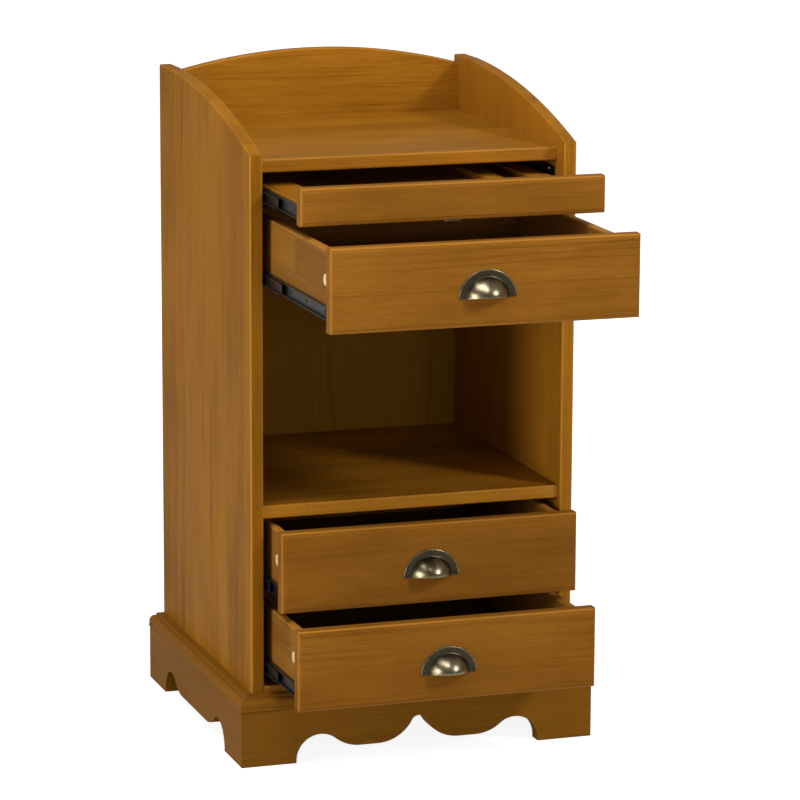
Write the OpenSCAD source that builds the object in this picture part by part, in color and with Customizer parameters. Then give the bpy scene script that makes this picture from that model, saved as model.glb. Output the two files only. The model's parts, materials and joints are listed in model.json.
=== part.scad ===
// Hall chest: a narrow pine chest with a pull-out tray, three drawers and an open shelf space.
// X runs across the chest, the front faces -Y, Z is up from the floor.
// The origin is on the floor, midway between the side panels' edges.

/* [Carcass] */
// Outer width across the two side panels
body_w = 460; // [430:1:540]
// Depth of a side panel from front edge to back edge
body_d = 450; // [440:1:520]
// Thickness of the carcass boards
board_t = 18; // [16:0.5:20]
// Height of the open space between the shelf and the upper drawer
cubby_h = 286; // [220:1:330]
// Rise of a side panel above the top board at its front edge
side_front_rise = 10; // [4:1:20]
// Rise of a side panel above the top board at its back edge
side_back_rise = 79; // [60:1:100]
// Distance from a side panel's back edge to the crown of its top arc
side_level = 20; // [10:1:28]
// Height cut off that arc's crown, which leaves the edge level near the back
crown_cut = 0.35; // [0.2:0.05:1]
// Rounding of the boards' front edges
edge_r = 2.5; // [1:0.5:4]
// Chamfer on the side panels' front edges
side_chamfer = 1.2; // [0.6:0.1:3]

/* [Gallery and back] */
// Thickness of the arched gallery panel behind the top board
gallery_t = 16; // [12:0.5:18]
// Height of the gallery panel above the top board where it meets the sides
gallery_end_h = 69; // [40:1:72]
// Extra height of the gallery panel at its middle
gallery_crown = 28; // [10:1:45]
// Distance from the gallery's rear face to the sides' back edge
gallery_inset = 4; // [2:0.5:8]
// Thickness of the thin back panel
back_t = 6; // [4:0.5:8]
// Distance from the back panel's rear face to the sides' back edge
back_inset = 6; // [5:0.5:10]

/* [Base] */
// Height of the plinth boards
plinth_h = 76.5; // [70:0.5:90]
// Thickness of the plinth boards, which is how far they stand out at the sides
plinth_t = 22; // [18:0.5:24]
// How far the plinth's front face stands ahead of the side panels
plinth_front_reach = 26; // [25:0.5:32]
// Height of the moulding that caps the plinth
mould_h = 19.5; // [17:0.5:24]
// How far the moulding's bead stands out from the plinth face
mould_bead_out = 1.5; // [0.5:0.25:3]
// Width of a foot on the front, left by the shaped lower edge
foot_w = 78; // [60:1:84]
// Width of a foot on the sides
side_foot_w = 84; // [60:1:100]
// Radius of the arch beside each foot
arch_r = 34; // [26:1:36]
// Height of the middle of that arch's circle above the floor
arch_centre_h = 4; // [2:0.5:8]
// Clearance between the floor and the lobes of the shaped edge
lobe_h = 17.5; // [12:0.5:20]
// Radius of the ends of a lobe
lobe_r = 56; // [50:1:60]
// Height of the peak in the middle of the front plinth
peak_h = 52; // [48:0.5:55]
// Half of the gap between the two lobes at the level of their circles
lobe_half_gap = 2; // [1:0.5:4]
// Thickness of the rail across the back of the plinth
rear_rail_t = 20; // [16:1:24]

/* [Drawer fronts] */
// Height of each drawer front
front_h = 110; // [104:1:116]
// Height of the tray front
tray_front_h = 50; // [46:1:58]
// Thickness of the fronts
front_t = 18; // [16:0.5:22]
// Gap between a front and a side panel
front_side_gap = 2.5; // [1.5:0.25:4]
// How far closed fronts sit behind the side panels' front edges
front_recess = 8; // [4:0.5:12]
// Rounding of the fronts' face edges
front_edge_r = 4; // [2:0.5:5]
// Depth of the thin step beside that rounding
front_step = 0.8; // [0.4:0.1:1.2]
// Gap under the lowest drawer front
gap_low = 3.5; // [2:0.5:6]
// Gap between the two lower drawer fronts
gap_mid = 5; // [3:0.5:8]
// Gap between the second lowest drawer front and the shelf
gap_shelf = 2; // [1.5:0.5:5]
// Gap between the upper drawer front and the tray front
gap_tray = 7.5; // [6:0.5:12]
// How far the tray front laps over the top board's edge
tray_lap = 6; // [2:0.5:10]
// Rise of the bottom board above the base moulding
bottom_rise = 8; // [4:0.5:12]

/* [Drawer boxes] */
// Gap between a closed drawer box and the back panel
box_back_gap = 12; // [6:1:60]
// Thickness of the drawer box boards
box_t = 12; // [10:0.5:14]
// Distance from a front's top down to the box's top
box_top_gap = 8.5; // [1:0.5:12]
// Distance from a front's lower edge up to the box's lower edge
box_low_gap = 13; // [10:0.5:18]
// Thickness of the drawer bottoms
ply_t = 4; // [3:0.5:5]
// Height of the drawer bottom above the box's lower edge
ply_rise = 10; // [8:0.5:14]
// Depth of the grooves that hold a drawer bottom
groove_d = 5; // [3:0.5:6]
// Clearance of a drawer bottom in its grooves
groove_fit = 0.2; // [0.1:0.05:0.4]
// Diameter of the round cams in the drawer sides
cam_d = 15; // [12:0.5:16]
// Distance from a drawer front's back to the cam's middle
cam_back = 34; // [24:1:40]
// Distance from a drawer front's top down to the cam's middle
cam_drop = 48; // [40:1:56]

/* [Tray] */
// Thickness of the tray board
tray_t = 20; // [18:0.5:22]
// Depth of the tray's two recesses
recess_d = 8; // [5:0.5:11]
// Left end of the wide recess, from the middle of the tray
recess_left = 152; // [120:1:165]
// Right end of the wide recess, from the middle of the tray
recess_right = 108; // [60:1:112]
// Width of the rib between the recesses
recess_rib = 24; // [14:1:28]
// Width of the narrow pen recess
pen_w = 36; // [24:1:42]
// Distance from the tray front's back to the recesses
recess_front = 14; // [10:1:30]
// Distance from the recesses to the tray board's back edge
recess_back = 56; // [20:1:130]
// Corner radius of the recesses
recess_r = 8; // [4:0.5:10]
// Distance of the tray board's lower face above the tray front's lower edge
tray_rise = 5; // [4:0.5:8]
// Depth of the tongue that joins the tray board to its front
tongue_d = 5; // [3:0.5:8]
// Width of the finger lip under the tray front
lip_w = 22; // [16:1:40]

/* [Runners] */
// Gap between a drawer box and a side panel, filled by the runner
runner_gap = 12.5; // [12.5:0.1:13.5]
// Distance from a drawer box's back edge to the ends of its rails
rail_end_gap = 4; // [0:1:60]
// Sheet thickness of the rails
rail_sheet = 1.2; // [1:0.1:1.4]
// Height of the channel of the outer and drawer rails
channel_h = 17.4; // [16:0.1:18]
// Height of the plate that carries the outer rail
plate_h = 40; // [36:1:40]
// Running gap between the middle rail and the channels
rail_gap = 0.4; // [0.3:0.05:0.5]
// Distance from the side panels' front edge to the outer rail
rail_back = 34; // [32:1:36]

/* [Pulls] */
// Overall width of a cup pull
pull_w = 79; // [74:0.5:90]
// Radius of the cup's dome
cup_r = 28.5; // [25:0.5:30]
// How far the cup stands out from the drawer front
cup_out = 24; // [20:0.5:26]
// Wall thickness of the cup
cup_wall = 1.8; // [1.4:0.1:2.4]
// Thickness of the cup pull's flange
flange_t = 2; // [1.5:0.1:3]
// Height of the pull's lower edge above the drawer front's lower edge
pull_low = 37; // [34:0.5:44]
// Height of the pull's lower edge above the middle of its round outline
pull_cut = 2; // [1:0.5:4]
// Upward slope of the cup's lower rim, in degrees
rim_slope = 9; // [4:1:14]

/* [Fixings] */
// Diameter of the carcass dowels
dowel_d = 8; // [6:1:8]
// Length of the carcass dowels
dowel_l = 30; // [24:1:34]
// Depth of a dowel in a side panel
dowel_in_side = 12; // [8:1:13]
// Shank diameter of the wood screws
screw_d = 3.5; // [3:0.1:4]
// Length of a wood screw under its head
screw_l = 10; // [8:0.5:10]
// Length of a drawer rail's screw under its head
rail_screw_l = 7.5; // [6:0.5:8]
// Head diameter of the wood screws
screw_head_d = 6.4; // [6:0.1:7]
// Radial clearance of dowels and screws in their holes
fit = 0.05; // [0.03:0.01:0.08]

/* [Opening as shown] */
// How far the tray stands open
tray_open = 169; // [20:1:340]
// How far the upper drawer stands open
upper_open = 295; // [20:1:340]
// How far the middle drawer stands open
middle_open = 82; // [20:1:340]
// How far the lowest drawer stands open
lower_open = 156.5; // [20:0.5:340]
// Share of an even run that the upper drawer's middle rails have made
upper_rail_share = 0.68; // [0.5:0.02:1]

/* [Hidden] */
$fn = 64;
// Overcut of holes and notches past a face
over = 1;
// Fineness of the long arcs
arc_fn = 360;
// How far the arch and peak circles bite into the lobes, and how far their joints lap
bite = 0.15;
join_lap = 3;

// Places from front to back
front_y = -body_d / 2;
back_y = body_d / 2;
closed_y = front_y + front_recess;
front_back_y = closed_y + front_t;
back_panel_y = back_y - back_inset - back_t;
gallery_y = back_y - gallery_inset - gallery_t;
// Gap between the closed tray front and the top board's edge
tray_clear = 1;
top_front_y = front_back_y + tray_clear;
box_d = back_panel_y - front_back_y - box_back_gap;
rail_l = box_d - rail_end_gap;
recess_l = box_d - recess_front - recess_back;

// Places across
half_w = body_w / 2;
inner_x = half_w - board_t;
front_w = 2 * (inner_x - front_side_gap);
box_x = inner_x - runner_gap;
box_in_x = box_x - box_t;
plinth_x = half_w + plinth_t;
plinth_y = front_y - plinth_front_reach;

// Places upwards
base_h = plinth_h + mould_h;
bottom_top = base_h + bottom_rise;
bottom_low = bottom_top - board_t;
// Wood left above the plinth's peak before the side panels' lower edge
over_peak = 4;
side_low = peak_h + over_peak;
lower_z = bottom_top + gap_low;
middle_z = lower_z + front_h + gap_mid;
shelf_low = middle_z + front_h + gap_shelf;
shelf_top = shelf_low + board_t;
upper_z = shelf_top + cubby_h;
tray_z = upper_z + front_h + gap_tray;
top_low = tray_z + tray_front_h - tray_lap;
top_z = top_low + board_t;
side_front_h = top_z + side_front_rise;
side_back_h = top_z + side_back_rise;

// Drawer box heights
box_h = front_h - box_top_gap - box_low_gap;
drawer_rail_z = box_low_gap + channel_h / 2;
tray_rail_z = tray_rise + tray_t / 2;

// One row for the tray and one for each drawer, from the top down
levels = [tray_z + tray_rail_z, upper_z + drawer_rail_z, middle_z + drawer_rail_z, lower_z + drawer_rail_z];
opens = [tray_open, upper_open, middle_open, lower_open];
shares = [1, upper_rail_share, 1, 1];
fronts_z = [tray_z, upper_z, middle_z, lower_z];

// Runner section, measured from the side panel towards the drawer
middle_near = rail_sheet + 0.5;
drawer_web = runner_gap - rail_sheet;
middle_far = drawer_web - 0.6;
middle_h = channel_h - 2 * rail_sheet - 2 * rail_gap;
outer_tip = rail_sheet + 4.4;
drawer_tip = outer_tip + 1.3;
outer_screw_z = (channel_h / 2 + plate_h / 2) / 2;
outer_screw_in = 20;
outer_screws_y = [outer_screw_in, rail_l / 2, rail_l - 2 * outer_screw_in];
drawer_screw_in = 30;
drawer_screw_step = 20;
drawer_screws_y = [drawer_screw_in, rail_l / 2 + drawer_screw_step, rail_l - drawer_screw_in];
slot_first = 109;
slot_second = 175;
drawer_slots_y = [slot_first, slot_second, rail_l - slot_first];
slot_l = 9;
slot_r = 2.2;
rivet_r = 2.4;
rivet_y = 8;

// Dowel rows along the boards
dowel_inset = 60;
dowels_y = [front_y + dowel_inset, 0, back_y - dowel_inset];
gallery_dowel_inset = 64;
gallery_dowels_x = [-inner_x + gallery_dowel_inset, 0, inner_x - gallery_dowel_inset];
gallery_dowel_d = 6;
gallery_dowel_l = 28;
gallery_dowel_in = 10;

// Small fixings
pan_head_t = 1.8;
back_screw_d = 3;
back_screw_head_t = 1.6;
back_screw_inset = 53;
back_screws_x = [-inner_x + back_screw_inset, 0, inner_x - back_screw_inset];
plinth_screw_inset = 50;
plinth_screws_y = [front_y + plinth_screw_inset, 0, back_y - plinth_screw_inset];
plinth_screw_bite = 13;
plinth_screw_l = board_t + plinth_screw_bite;
plinth_screw_z = (side_low + plinth_h) / 2;
block_w = 30;
block_l = 40;
block_lift = 2;
cleat_d = 24;
cleat_h = 20;

// Cup pull
flange_r = pull_w / 2;
dome_back = cup_r - cup_out;
pin_d = 5;
pin_inset = 5;
pin_rise = 6;
pin_shank_l = 9;
pin_shank_d = 2;
lip_d = 14;
lip_t = 2;

// Copies what is drawn for the left hand to the right hand as well
module both_sides() {
    children();
    mirror([1, 0, 0]) children();
}

// Cylinder along +X from a point
module rod_x(from, length, d) {
    translate(from) rotate([0, 90, 0]) cylinder(h = length, d = d);
}

// Cylinder along +Y from a point
module rod_y(from, length, d) {
    translate(from) rotate([-90, 0, 0]) cylinder(h = length, d = d);
}

// Extrudes an outline drawn in Y and Z along X
module along_x(from, length) {
    translate([from, 0, 0]) rotate([90, 0, 90]) linear_extrude(length) children();
}

// Extrudes an outline drawn in X and Z along +Y
module along_y(from, length) {
    translate([0, from + length, 0]) rotate([90, 0, 0]) linear_extrude(length) children();
}

// Board between the sides with a rounded front edge
module cross_board(y0, y1, z0, t) {
    along_x(-inner_x, 2 * inner_x) translate([y0, z0]) {
        translate([edge_r, 0]) square([y1 - y0 - edge_r, t]);
        translate([0, edge_r]) square([y1 - y0, t - 2 * edge_r]);
        for (z = [edge_r, t - edge_r]) translate([edge_r, z]) circle(r = edge_r);
    }
}

// Dowel holes at both ends of a cross board
module cross_dowels(z, extra) {
    both_sides() for (y = dowels_y)
        rod_x([-inner_x - dowel_in_side - extra, y, z], dowel_l + 2 * extra, dowel_d + 2 * extra);
}

module all_cross_dowels(extra) {
    for (z = [top_low, shelf_low, bottom_low]) cross_dowels(z + board_t / 2, extra);
}

// Outline of a side panel in Y and Z: its long arc on top is cut level near the back
module side_outline() {
    arc_rise = side_back_rise - side_front_rise + crown_cut;
    arc_run = body_d - side_level;
    arc_radius = (arc_run * arc_run + arc_rise * arc_rise) / (2 * arc_rise);
    intersection() {
        translate([front_y, side_low]) square([body_d, side_back_h - side_low]);
        translate([back_y - side_level, side_back_h + crown_cut - arc_radius])
            circle(r = arc_radius, $fn = arc_fn * 4);
    }
}

module left_side() {
    color("burlywood") difference() {
        intersection() {
            along_x(-half_w, board_t) side_outline();
            translate([-half_w, front_y, 0]) linear_extrude(side_back_h + over)
                polygon([[side_chamfer, 0], [board_t - side_chamfer, 0], [board_t, side_chamfer], [board_t, body_d],
                    [0, body_d], [0, side_chamfer]]);
        }
        all_cross_dowels(fit);
        left_outer_shanks(fit);
        left_plinth_shanks(fit);
    }
}

module right_side() {
    mirror([1, 0, 0]) left_side();
}

module top_board() {
    color("burlywood") difference() {
        cross_board(top_front_y, gallery_y, top_low, board_t);
        cross_dowels(top_low + board_t / 2, fit);
        gallery_dowels(fit);
    }
}

// Dowels that join the gallery panel to the top board's back edge
module gallery_dowels(extra) {
    for (x = gallery_dowels_x)
        rod_y([x, gallery_y - gallery_dowel_l + gallery_dowel_in - extra, top_low + board_t / 2],
            gallery_dowel_l + 2 * extra, gallery_dowel_d + 2 * extra);
}

module gallery_panel() {
    arch_radius = (inner_x * inner_x + gallery_crown * gallery_crown) / (2 * gallery_crown);
    crown_z = top_z + gallery_end_h + gallery_crown;
    color("burlywood") difference() {
        along_y(gallery_y, gallery_t) intersection() {
            translate([-inner_x, top_low]) square([2 * inner_x, board_t + gallery_end_h + gallery_crown]);
            translate([0, crown_z - arch_radius]) circle(r = arch_radius, $fn = arc_fn * 2);
        }
        gallery_dowels(fit);
    }
}

module shelf_board() {
    color("burlywood") difference() {
        cross_board(closed_y, back_panel_y, shelf_low, board_t);
        cross_dowels(shelf_low + board_t / 2, fit);
        back_screws(fit);
    }
}

module bottom_board() {
    color("burlywood") difference() {
        cross_board(front_y, back_panel_y, bottom_low, board_t);
        cross_dowels(bottom_low + board_t / 2, fit);
        back_screws(fit);
    }
}

module back_panel() {
    color("tan") difference() {
        translate([-inner_x, back_panel_y, bottom_low])
            cube([2 * inner_x, back_t, top_low - bottom_low]);
        back_screws(fit);
    }
}

// Round-headed screws that hold the back panel to the boards
module back_screws(extra) {
    for (x = back_screws_x, z = [bottom_low + board_t / 2, shelf_low + board_t / 2]) {
        rod_y([x, back_panel_y - screw_l - extra, z], screw_l + back_t + extra, back_screw_d + 2 * extra);
        rod_y([x, back_panel_y + back_t, z], back_screw_head_t, 2 * back_screw_d);
    }
}

// Shape cut from the lower edge of a plinth board, drawn about its middle.
// Arch and peak are circles that bite a little into the lobes, so the edge runs on almost smoothly.
module plinth_cutout(half, foot, with_peak) {
    arch_x = half - foot - arch_r;
    lobe_z = lobe_h + lobe_r;
    arch_to_lobe_z = lobe_z - arch_centre_h;
    reach = arch_r + lobe_r - bite;
    lobe_x = arch_x - sqrt(reach * reach - arch_to_lobe_z * arch_to_lobe_z);
    join_x = arch_x - (arch_x - lobe_x) * arch_r / reach + join_lap;
    join_z = arch_centre_h + arch_to_lobe_z * arch_r / reach;
    near_x = with_peak ? lobe_r + lobe_half_gap : 0;
    peak_to_lobe_z = lobe_z - peak_h;
    lobe_reach = lobe_r - bite;
    peak_r = (near_x * near_x + peak_to_lobe_z * peak_to_lobe_z - lobe_reach * lobe_reach)
        / (2 * (lobe_reach - peak_to_lobe_z));
    peak_z = peak_h - peak_r;
    peak_join_z = peak_z + (lobe_z - peak_z) * peak_r / (peak_r + lobe_r);
    for (s = [-1, 1]) translate([s * arch_x, 0]) {
        translate([0, arch_centre_h]) circle(r = arch_r);
        translate([-arch_r, -over]) square([2 * arch_r, arch_centre_h + over]);
    }
    difference() {
        union() {
            translate([-join_x, -over]) square([2 * join_x, join_z + over]);
            if (with_peak) translate([-near_x, -over]) square([2 * near_x, peak_join_z + over]);
        }
        for (s = [-1, 1]) translate([s * lobe_x, lobe_z]) circle(r = lobe_r, $fn = 128);
        if (with_peak) for (s = [-1, 1]) {
            translate([s * near_x, lobe_z]) circle(r = lobe_r, $fn = 128);
            translate([s * (lobe_x + near_x) / 2, lobe_z]) square([lobe_x - near_x, 2 * lobe_r], center = true);
        }
        if (!with_peak) translate([0, lobe_z]) square([2 * lobe_x, 2 * lobe_r], center = true);
    }
    if (with_peak) translate([0, peak_z]) circle(r = peak_r);
}

// Half of the floor plan that a mitred front piece keeps, outer corner at reach past the sides
module mitre_plan(x_out, y_out, y_in) {
    polygon([[-x_out, y_out], [x_out, y_out], [half_w, y_out + x_out - half_w], [half_w, y_in],
        [-half_w, y_in], [-half_w, y_out + x_out - half_w]]);
}

module plinth_front() {
    color("burlywood") intersection() {
        along_y(plinth_y, plinth_t) difference() {
            translate([-plinth_x, 0]) square([2 * plinth_x, plinth_h]);
            plinth_cutout(plinth_x, foot_w, true);
        }
        linear_extrude(plinth_h) mitre_plan(plinth_x, plinth_y, plinth_y + plinth_t);
    }
}

module plinth_left() {
    run = back_y - plinth_y;
    color("burlywood") difference() {
        intersection() {
            along_x(-plinth_x, plinth_t) difference() {
                translate([plinth_y, 0]) square([run, plinth_h]);
                translate([plinth_y + run / 2, 0]) plinth_cutout(run / 2, side_foot_w, false);
            }
            linear_extrude(plinth_h) polygon([[-plinth_x, plinth_y], [-half_w, plinth_y + plinth_t],
                [-half_w, back_y], [-plinth_x, back_y]]);
        }
        left_plinth_shanks(fit);
    }
}

module plinth_right() {
    mirror([1, 0, 0]) plinth_left();
}

module plinth_back() {
    rail_foot = foot_w - plinth_t;
    color("burlywood") difference() {
        union() {
            translate([-half_w, back_y - rear_rail_t, 0]) cube([body_w, rear_rail_t, side_low]);
            translate([-inner_x, back_y - rear_rail_t, 0]) cube([2 * inner_x, rear_rail_t, bottom_low]);
        }
        translate([-half_w + rail_foot, back_y - rear_rail_t - over, -over])
            cube([body_w - 2 * rail_foot, rear_rail_t + 2 * over, arch_r + over]);
    }
}

// Moulding section: outwards from the plinth face, upwards from the plinth top
module mould_outline(depth) {
    bead_r = 2.5;
    ovolo_r = 8;
    step_h = 3;
    ledge = 2.5;
    flat_end = -plinth_t + 12;
    ovolo_x = flat_end + ledge;
    translate([-depth, 0]) square([depth + flat_end, mould_h]);
    translate([-depth, 0]) square([depth + ovolo_x, mould_h - step_h]);
    translate([ovolo_x, mould_h - step_h - ovolo_r]) circle(r = ovolo_r);
    translate([-depth, 0]) square([depth + ovolo_x + ovolo_r, mould_h - step_h - ovolo_r]);
    translate([mould_bead_out - bead_r, bead_r]) circle(r = bead_r);
}

module moulding_front() {
    out = mould_bead_out;
    color("burlywood") intersection() {
        translate([0, plinth_y, plinth_h]) rotate([90, 0, -90])
            translate([0, 0, -plinth_x - out]) linear_extrude(2 * (plinth_x + out))
                mould_outline(plinth_front_reach);
        translate([0, 0, plinth_h - over]) linear_extrude(mould_h + 2 * over)
            mitre_plan(plinth_x + out, plinth_y - out, front_y);
    }
}

module moulding_left() {
    out = mould_bead_out;
    color("burlywood") intersection() {
        translate([-plinth_x, back_y, plinth_h]) rotate([90, 0, 0]) mirror([1, 0, 0])
            linear_extrude(back_y - plinth_y + out) mould_outline(plinth_t);
        translate([0, 0, plinth_h - over]) linear_extrude(mould_h + 2 * over)
            polygon([[-plinth_x - out, plinth_y - out], [-half_w, plinth_y + plinth_t],
                [-half_w, back_y], [-plinth_x - out, back_y]]);
    }
}

module moulding_right() {
    mirror([1, 0, 0]) moulding_left();
}

// Blocks in the corners under the side panels and a cleat behind the front plinth
module corner_blocks() {
    plinth_back_face = plinth_y + plinth_t;
    color("wheat") {
        both_sides() {
            translate([-half_w, plinth_back_face, block_lift])
                cube([block_w, block_l, side_low - block_lift]);
            translate([-half_w, back_y - rear_rail_t - block_l, block_lift])
                cube([block_w, block_l, side_low - block_lift]);
        }
        translate([-inner_x + block_w, plinth_back_face, plinth_h - cleat_h])
            cube([2 * (inner_x - block_w), cleat_d, cleat_h]);
    }
}

module dowels() {
    color("wheat") {
        all_cross_dowels(0);
        gallery_dowels(0);
    }
}

// Shanks of the left outer rails' screws, in the side panel
module left_outer_shanks(extra) {
    for (level = levels, y = outer_screws_y)
        rod_x([-inner_x + rail_sheet - screw_l - extra, front_y + rail_back + y, level + outer_screw_z],
            screw_l + extra, screw_d + 2 * extra);
}

module left_outer_screws() {
    left_outer_shanks(0);
    for (level = levels, y = outer_screws_y)
        rod_x([-inner_x + rail_sheet, front_y + rail_back + y, level + outer_screw_z], pan_head_t, screw_head_d);
}

// Shanks from inside each side panel into the plinth board outside it
module left_plinth_shanks(extra) {
    for (y = plinth_screws_y)
        rod_x([-inner_x - plinth_screw_l - extra, y, plinth_screw_z], plinth_screw_l + 2 * extra, screw_d + 2 * extra);
}

module left_plinth_screws() {
    left_plinth_shanks(0);
    for (y = plinth_screws_y) rod_x([-inner_x, y, plinth_screw_z], pan_head_t, screw_head_d);
}

module carcass_screws() {
    color("silver") {
        both_sides() {
            left_outer_screws();
            left_plinth_screws();
        }
        back_screws(0);
    }
}

// Outer rail on the left side panel: a plate with an open channel
module left_outer_rail() {
    difference() {
        union() {
            translate([0, 0, -plate_h / 2]) cube([rail_sheet, rail_l, plate_h]);
            for (z = [-channel_h / 2, channel_h / 2 - rail_sheet])
                translate([0, 0, z]) cube([outer_tip, rail_l, rail_sheet]);
        }
        for (y = outer_screws_y)
            rod_x([-over, y, outer_screw_z], rail_sheet + 2 * over, screw_d + 2 * fit);
    }
}

module outer_rails(i) {
    color("dimgray") both_sides()
        translate([-inner_x, front_y + rail_back, levels[i]]) left_outer_rail();
}

// Middle rail: an H section that runs in both channels
module left_middle_rail() {
    width = middle_far - middle_near;
    web_x = middle_near + (width - rail_sheet) / 2;
    translate([web_x, 0, -middle_h / 2]) cube([rail_sheet, rail_l, middle_h]);
    for (z = [-middle_h / 2, middle_h / 2 - rail_sheet])
        translate([middle_near, 0, z]) cube([width, rail_l, rail_sheet]);
    rod_x([middle_near, rivet_y, 0], width, 2 * rivet_r);
}

// The middle rail follows at half the drawer's run, or at a share of that
module middle_rails(i) {
    run = opens[i] / 2 * shares[i];
    color("dimgray") both_sides()
        translate([-inner_x, front_y + rail_back - run, levels[i]]) left_middle_rail();
}

// Drawer rail: a channel that opens towards the side panel
module left_drawer_rail() {
    difference() {
        union() {
            translate([drawer_web, 0, -channel_h / 2]) cube([rail_sheet, rail_l, channel_h]);
            for (z = [-channel_h / 2, channel_h / 2 - rail_sheet])
                translate([drawer_tip, 0, z]) cube([runner_gap - drawer_tip, rail_l, rail_sheet]);
        }
        for (y = drawer_slots_y) {
            rod_x([drawer_web - over, y, -slot_l / 2 + slot_r], rail_sheet + 2 * over, 2 * slot_r);
            rod_x([drawer_web - over, y, slot_l / 2 - slot_r], rail_sheet + 2 * over, 2 * slot_r);
            translate([drawer_web - over, y - slot_r, -slot_l / 2 + slot_r])
                cube([rail_sheet + 2 * over, 2 * slot_r, slot_l - 2 * slot_r]);
        }
        left_drawer_screws(fit);
    }
}

// Countersunk screws through a drawer rail, flush with its web
module left_drawer_screws(extra) {
    for (y = drawer_screws_y) {
        rod_x([drawer_web, y, 0], rail_screw_l + extra, screw_d + 2 * extra);
        translate([drawer_web, y, 0]) rotate([0, 90, 0])
            cylinder(h = rail_sheet, d1 = screw_head_d + 2 * extra, d2 = screw_d + 2 * extra);
    }
}

module place_left_drawer_rail(i) {
    translate([-inner_x, front_back_y - opens[i], levels[i]]) children();
}

module drawer_rails(i) {
    color("dimgray") both_sides() place_left_drawer_rail(i) left_drawer_rail();
}

module drawer_rail_screws(i) {
    color("silver") both_sides() place_left_drawer_rail(i) left_drawer_screws(0);
}

// Front board with rounded face edges and a thin step beside the rounding
module front_board(z, h, open) {
    y = closed_y - open;
    step_in = front_edge_r + 1.5;
    intersection() {
        along_x(-front_w / 2, front_w) translate([y, z]) front_section(h, step_in);
        translate([-front_w / 2, y, z - over]) linear_extrude(h + 2 * over) front_plan(front_w, step_in);
    }
}

// Section of a front in Y and Z, its face at y = 0
module front_section(h, step_in) {
    translate([front_step, front_edge_r]) square([front_t - front_step, h - 2 * front_edge_r]);
    translate([front_step + front_edge_r, 0]) square([front_t - front_step - front_edge_r, h]);
    for (z = [front_edge_r, h - front_edge_r])
        translate([front_step + front_edge_r, z]) circle(r = front_edge_r);
    translate([0, step_in]) square([front_t, h - 2 * step_in]);
}

// Plan of a front in X and Y, its face at y = 0
module front_plan(w, step_in) {
    translate([front_edge_r, front_step]) square([w - 2 * front_edge_r, front_t - front_step]);
    translate([0, front_step + front_edge_r]) square([w, front_t - front_step - front_edge_r]);
    for (x = [front_edge_r, w - front_edge_r])
        translate([x, front_step + front_edge_r]) circle(r = front_edge_r);
    translate([step_in, 0]) square([w - 2 * step_in, front_t]);
}

// Drawer bottom, grown by extra where it cuts the grooves
module ply_sheet(i, extra) {
    y0 = front_back_y - opens[i] - groove_d;
    z0 = fronts_z[i] + box_low_gap + ply_rise;
    half = box_in_x + groove_d;
    translate([-half + groove_fit - extra, y0 + groove_fit - extra, z0 - extra])
        cube([2 * half - 2 * groove_fit + 2 * extra, box_d + groove_d - groove_fit + 2 * extra, ply_t + 2 * extra]);
}

module drawer_front(i) {
    color("burlywood") difference() {
        front_board(fronts_z[i], front_h, opens[i]);
        ply_sheet(i, groove_fit);
        pull_shanks(i, fit);
    }
}

module drawer_left_side(i) {
    color("navajowhite") difference() {
        translate([-box_x, front_back_y - opens[i], fronts_z[i] + box_low_gap]) cube([box_t, box_d, box_h]);
        ply_sheet(i, groove_fit);
        place_left_drawer_rail(i) left_drawer_screws(fit);
        left_cam(i, fit);
    }
}

module drawer_right_side(i) {
    mirror([1, 0, 0]) drawer_left_side(i);
}

module drawer_back(i) {
    z0 = fronts_z[i] + box_low_gap + ply_rise + ply_t;
    color("navajowhite")
        translate([-box_in_x, front_back_y - opens[i] + box_d - box_t, z0])
            cube([2 * box_in_x, box_t, box_h - ply_rise - ply_t]);
}

module drawer_bottom(i) {
    color("wheat") ply_sheet(i, 0);
}

// Round cam let into the outside of the left drawer side
module left_cam(i, extra) {
    cam_depth = box_t - 3;
    at = [-box_x, front_back_y - opens[i] + cam_back, fronts_z[i] + front_h - cam_drop];
    rod_x(at, cam_depth + extra, cam_d + 2 * extra);
}

module drawer_cams(i) {
    proud = 0.8;
    slot_w = 1.6;
    cam_at = [-box_x - proud, front_back_y - opens[i] + cam_back, fronts_z[i] + front_h - cam_drop];
    color("ivory") both_sides() difference() {
        union() {
            left_cam(i, 0);
            rod_x(cam_at, proud, cam_d);
        }
        translate(cam_at) cube([2 * proud, cam_d * 0.6, slot_w], center = true);
        translate(cam_at) cube([2 * proud, slot_w, cam_d * 0.6], center = true);
    }
}

// Level of the middle of a pull's round outline
function pull_middle_z(i) = fronts_z[i] + pull_low - pull_cut;

// Cup pull: a half-round flange and a dome that is open below
module drawer_pull(i) {
    color("goldenrod") translate([0, closed_y - opens[i], pull_middle_z(i)]) {
        difference() {
            intersection() {
                rotate([90, 0, 0]) rotate_extrude() flange_section();
                translate([-pull_w, -flange_t - over, pull_cut]) cube([2 * pull_w, flange_t + over, pull_w]);
            }
            below_cup();
        }
        difference() {
            intersection() {
                translate([0, dome_back, 0]) sphere(r = cup_r, $fn = 96);
                translate([-cup_r, -cup_out - over, pull_cut]) cube([2 * cup_r, cup_out + over, cup_r]);
            }
            translate([0, dome_back, 0]) sphere(r = cup_r - cup_wall, $fn = 96);
            translate([-cup_r, -flange_t, pull_cut]) rotate([-rim_slope, 0, 0])
                translate([0, -2 * cup_out, -cup_r]) cube([2 * cup_r, 2 * cup_out, cup_r]);
        }
    }
}

// The space inside the dome at the flange
module below_cup() {
    inner_r = sqrt((cup_r - cup_wall) * (cup_r - cup_wall) - dome_back * dome_back);
    rod_y([0, -flange_t - over, 0], flange_t + 2 * over, 2 * inner_r);
}

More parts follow.
